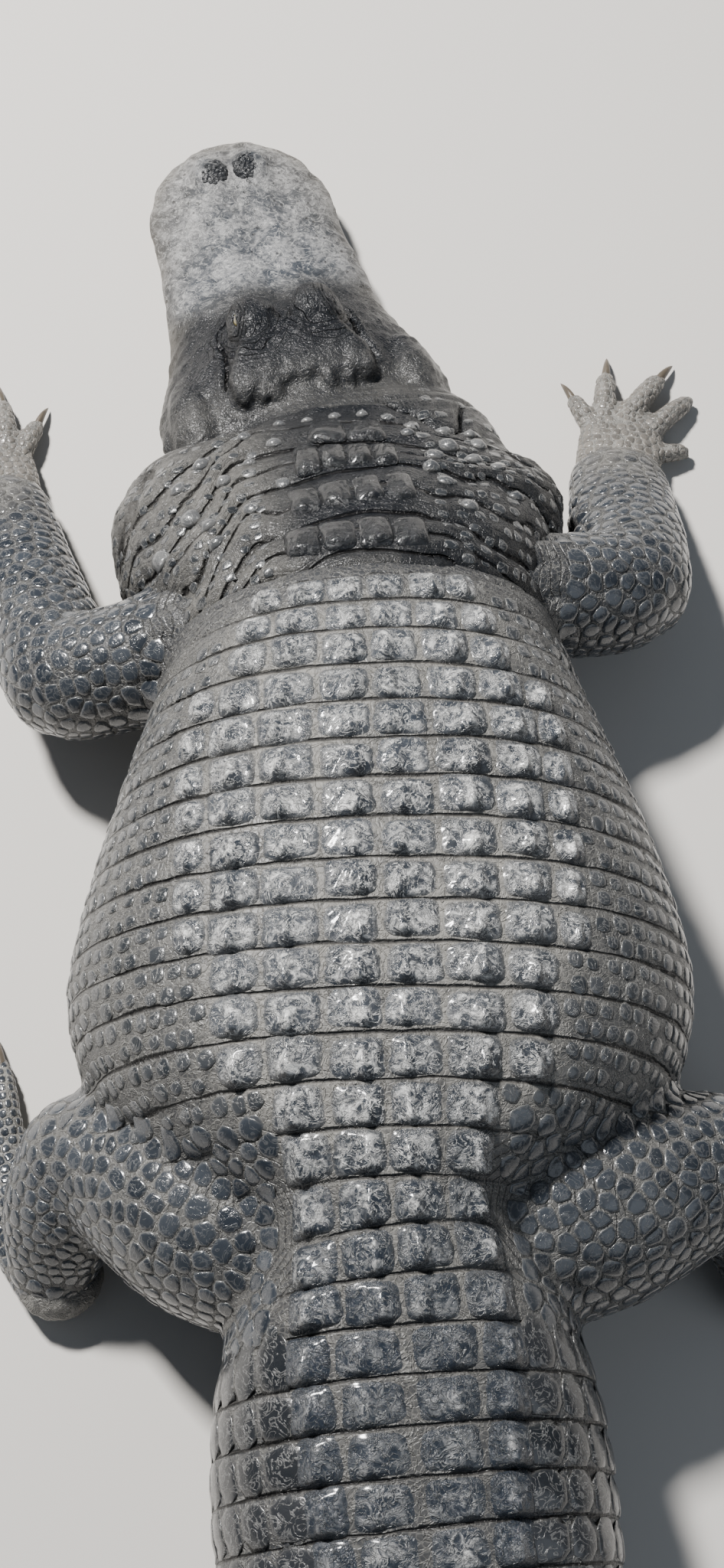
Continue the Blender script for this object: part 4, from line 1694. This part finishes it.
def scale_material(name, dark, light, groove, gloss, dusty, rough_skin=1.0):
    """Small scales: a dark crown, paler dust towards the groove round it, a tone of its own each."""
    material, tree, shader, place = new_material(name)
    edge = painted(tree, "edge")
    base = mixed(tree, painted(tree, "tone"), dark, light)
    base = mixed(tree, painted(tree, "pale"), base, colour(0.12, 0.111, 0.099))
    wrinkles = use_group(tree, WRINKLES, {0: 75.0, 1: 1.6})
    base = mixed(tree, product(tree, wrinkles, 0.45 * rough_skin), base, colour(0.24, 0.24, 0.235))
    dust = use_group(tree, DUST, {0: ramp(tree, edge, 0.1, 0.7, 1.0, 0.12), 1: dusty})
    base = mixed(tree, dust, base, groove)
    lines = noise(tree, place, 260.0, 5.0, 0.65, 0.6)
    height = sum_of(tree, product(tree, lines, 0.5 * rough_skin), product(tree, wrinkles, 0.4 * rough_skin))
    rough = ramp(tree, dust, 0.0, 0.5, gloss, 0.55)
    finish_shader(tree, shader, base, rough, height, 0.0008, 0.5)
    return material


def horn_material():
    """Claws: dark brown horn, paler along its length, scratched."""
    material, tree, shader, place = new_material("claw")
    base = mixed(tree, noise(tree, place, 70.0, 5.0), colour(0.035, 0.028, 0.022), colour(0.15, 0.125, 0.095))
    finish_shader(tree, shader, base, 0.38, noise(tree, place, 500.0, 3.0), 0.0003)
    return material


def tooth_material():
    """Teeth: stained ivory."""
    material, tree, shader, place = new_material("tooth")
    base = mixed(tree, noise(tree, place, 160.0, 3.0), colour(0.42, 0.34, 0.21), colour(0.6, 0.54, 0.4))
    finish_shader(tree, shader, base, 0.35, noise(tree, place, 600.0, 2.0), 0.0002)
    return material


def eye_material():
    """Eyes: olive-brown iris with an upright dark slit, wet."""
    material, tree, shader, place = new_material("eye")
    ring = noise(tree, place, 700.0, 4.0, 0.7)
    base = mixed(tree, ring, colour(0.09, 0.075, 0.025), colour(0.24, 0.2, 0.075))
    base = mixed(tree, ramp(tree, painted(tree, "away"), 0.55, 0.75), base, colour(0.05, 0.042, 0.03))
    base = mixed(tree, ramp(tree, painted(tree, "slit"), 0.9, 1.15, 1.0, 0.0), base,
                 colour(0.004, 0.004, 0.004))
    finish_shader(tree, shader, base, 0.06)
    shader.inputs["Coat Weight"].default_value = 1.0
    shader.inputs["Coat Roughness"].default_value = 0.03
    return material


def floor_material():
    """The pale floor of the studio."""
    material, tree, shader, place = new_material("studio floor")
    finish_shader(tree, shader, colour(0.62, 0.6, 0.57), 0.9)
    return material


# Assembly

def paint_hide(piece):
    """Row, fold, dust and low-belly values of the trunk, limb and tail hide."""
    points, normals = vertices_of(piece), normals_of(piece)
    length, side, share = body_coordinates(points)
    on_skin = 1 - smoothstep(0.06, 0.16, np.abs(share - 1))
    root = near_roots(points)
    centres = np.array([LIMBS[name][0, :3] for name in ROOT_REACH])
    gaps = np.linalg.norm((points[:, None] - centres[None]) * [1, 1, 0.8], axis=2).min(1)
    fold = gaps / 0.0065 + 0.4 * waves(points, 0.06, 33) + 0.15 * waves(points, 0.025, 34)
    dorsal = (1 - smoothstep(0.45, 0.75, np.abs(side))) * smoothstep(0.3, 0.7, normals[:, 2])
    rear = smoothstep(-0.12, 0.12, length - TAIL_START)
    trunk = smoothstep(0, 0.07, length - FIRST_FRONT) * (1 - 0.75 * rear)
    dust = 0.05 + 0.35 * trunk + 0.7 * dorsal * on_skin * (1 - root) * trunk
    low = (1 - smoothstep(0.03, 0.13, points[:, 2])) * (1 - smoothstep(-0.2, 0.5, normals[:, 2]))
    phase = row_phase(length)
    paint(piece, row=phase, rowed=on_skin * (1 - 0.8 * root) * (phase > -0.6), fold=fold,
          folded=np.clip(root * 1.5, 0, 1), dust=np.maximum(dust, wrist_dust(points)), low=low * 0.8)


def wrist_dust(points):
    """One at the wrists, falling to nothing in patches some way up the forearms."""
    wrists = np.array([LIMBS[name][-1, :3] for name in ("left_forearm", "right_forearm")])
    far = np.linalg.norm(points[:, None] - wrists[None], axis=2).min(1) + 0.02 * waves(points, 0.05, 55)
    return 1 - smoothstep(0.0, 0.08, far)


def dress(piece, slot_name, *nodes):
    """The piece rides on the body, takes its slot and stands for its solids."""
    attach(piece, "root")
    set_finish(piece, slot_name)
    if nodes:
        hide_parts(*nodes)
    return piece


HIDE, HEAD, SCUTE = hide_material(), head_material(), scute_material()
HORN, TOOTH, EYE = horn_material(), tooth_material(), eye_material()
GROOVE = colour(0.21, 0.204, 0.186)
LIMB_SCALE = scale_material("limb scales", colour(0.009, 0.0135, 0.021), colour(0.036, 0.043, 0.054), GROOVE,
                            0.15, 0.65, 0.45)
FLANK_SCALE = scale_material("flank scales", colour(0.013, 0.017, 0.022), colour(0.05, 0.054, 0.06), GROOVE,
                             0.2, 0.8)
TAIL_SCALE = scale_material("tail scales", colour(0.006, 0.008, 0.011), colour(0.02, 0.022, 0.026), GROOVE,
                            0.22, 0.35)
NECK_SCALE = scale_material("neck scales", colour(0.01, 0.013, 0.017), colour(0.04, 0.043, 0.047), GROOVE,
                            0.24, 0.6)
KNOB = scale_material("neck knobs", colour(0.04, 0.044, 0.05), colour(0.13, 0.132, 0.134), GROOVE,
                      0.18, 0.5)
PAW_SCALE = scale_material("paw scales", colour(0.085, 0.079, 0.071), colour(0.165, 0.151, 0.133),
                           colour(0.31, 0.277, 0.235), 0.4, 1.0)

hide = build_hide()
paint_hide(hide)
hide.data.materials.append(HIDE)
front = build_front()
front.data.materials.append(HEAD)
paw_hides = {name: build_paw(name) for name in PAWS}
for name, paw_hide in paw_hides.items():
    paint(paw_hide, dust=1, row=0.25, rowed=0, fold=0, folded=0, low=0)
    paw_hide.data.materials.append(HIDE)
tree = hide_tree([hide, front] + list(paw_hides.values()))

dress(hide, "hide", "torso", "tail_base", "tail_middle", "tail_end", *LIMBS)
dress(front, "head", "upper_head", "lower_jaw", "neck")
for name, paw_hide in paw_hides.items():
    dress(paw_hide, "hide", name)

dress(plates_object("scutes", plate_list(), SCUTE), "scute")
crests = join_lofts("tail_crests", crest_list(), SCUTE)
paint(crests, edge=0.7, tone=0.4)
dress(crests, "scute")


def coat(name, group, material, seed, **options):
    """Scales of one group, settled on the hide and grown."""
    piece = grow_scales(name, tree, settle(group, tree), material, seed, **options)
    return dress(piece, "hide")


coat("flank_scales", flank_groups(), FLANK_SCALE, 1, gap=0.9 * MM, spread=1.1)
coat("tail_scales", tail_groups(), TAIL_SCALE, 2, gap=0.45 * MM, spread=1.6)
coat("neck_scales", neck_groups(), NECK_SCALE, 3, gap=2.2 * MM, spread=1.0)
coat("neck_knobs", neck_knobs(), KNOB, 4, profile=np.array([-0.3, 0.15, 0.7]), lean=0.3, spread=1.1)
on_limbs = settle(merge_groups([limb_groups(n, k) for k, n in enumerate(LIMBS)]), tree, 20 * MM)
on_limbs = pick(on_limbs, near_roots(on_limbs["root"]) < 0.4)
on_limbs = merge_groups([on_limbs, fill_group(hide, on_limbs["root"], 8)])
on_limbs = coat("limb_scales", on_limbs, LIMB_SCALE, 5, gap=0.5 * MM, spread=1.6)
paint(on_limbs, pale=0.9 * wrist_dust(vertices_of(on_limbs)))
hands, feet = [n for n in PAWS if n.endswith("hand")], [n for n in PAWS if n.endswith("foot")]
coat("hand_scales", merge_groups([paw_groups(n, k) for k, n in enumerate(hands)]), PAW_SCALE, 7, gap=0.5 * MM)
coat("foot_scales", merge_groups([paw_groups(n, k) for k, n in enumerate(feet)]), LIMB_SCALE, 9, gap=0.5 * MM)

# What the head's material reads on the small pieces that it also covers
PLAIN = dict(folded=0.0, gape=30.0, mouth=0.0, slit=30.0, low=0.0, dust=0.5)

for index, label in enumerate(("left", "right")):
    rings = lid_shell(index)
    count, around = rings.shape[:2]
    lids = make_object(f"{label}_lids", rings.reshape(-1, 3), torus_faces(count, around), HEAD)
    onward = np.repeat(np.maximum(np.arange(count) - 8, 0) / 33, around)
    folded = 0.7 * smoothstep(0.12, 0.3, onward)
    paint(lids, **dict(PLAIN, fold=onward * 6 + 0.2, folded=folded, pale=0.0, shade=0.75))
    dress(lids, "head")
    rings, slit, polar = eye_ball(index)
    eye = loft_object(f"{label}_eyeball", rings, EYE)
    paint(eye, slit=slit.ravel(), away=polar.ravel())
    dress(eye, "eye", f"{label}_eye")
    pad = loft_object(f"{label}_nostril", nostril_pad(index), HEAD)
    paint(pad, **dict(PLAIN, fold=0.25, pale=0.5, shade=0.8))
    dress(pad, "head")

dress(join_lofts("teeth", tooth_rings(), TOOTH), "tooth")
for name, paw in PAWS.items():
    for i, digit in enumerate(paw["digits"]):
        if digit[5]:
            claw = loft_object(f"{name}_horn_{i + 1}", claw_rings(paw, digit), HORN)
            dress(claw, "claw", f"{name}_claw_{i + 1}")

# Normals outwards everywhere, then the studio

for piece in bpy.context.scene.objects:
    if piece.type == "MESH" and "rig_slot" in piece and len(piece.data.polygons) < 30000:
        mesh = bmesh.new()
        mesh.from_mesh(piece.data)
        bmesh.ops.recalc_face_normals(mesh, faces=mesh.faces)
        mesh.to_mesh(piece.data)
        mesh.free()

corners = np.array([[-9, -9, -0.0006], [9, -9, -0.0006], [9, 9, -0.0006], [-9, 9, -0.0006]])
floor = make_object("studio_floor", corners,
                    np.array([[0, 1, 2, 3]]), floor_material(), smooth=False)


def area_light(name, place, target, size, power_watts, tint):
    """A soft square light aimed at a place."""
    light = bpy.data.lights.new(name, "AREA")
    light.shape = "SQUARE"
    light.size = size
    light.energy = power_watts
    light.color = tint
    lamp = bpy.data.objects.new(name, light)
    bpy.context.scene.collection.objects.link(lamp)
    lamp.location = place
    lamp.rotation_euler = (Vector(target) - Vector(place)).to_track_quat("-Z", "Y").to_euler()


area_light("key", (-2.1, 2.4, 4.3), (0, 0, 0.1), 0.6, 700, (1.0, 0.975, 0.945))
area_light("fill", (3.5, -2.5, 3.0), (0, 0, 0.1), 4.0, 40, (0.82, 0.9, 1.0))
world = bpy.data.worlds.new("studio")
world.use_nodes = True
world.node_tree.nodes["Background"].inputs[0].default_value = (0.66, 0.76, 0.9, 1)
world.node_tree.nodes["Background"].inputs[1].default_value = 0.16
bpy.context.scene.world = world

camera_data = bpy.data.cameras.new("camera")
camera_data.lens = 49.2
camera_data.sensor_width = 36
camera = bpy.data.objects.new("camera", camera_data)
camera.location = (0, -0.72, 2.14)
camera.rotation_euler = (math.radians(25), 0, 0)
bpy.context.scene.collection.objects.link(camera)
bpy.context.scene.camera = camera
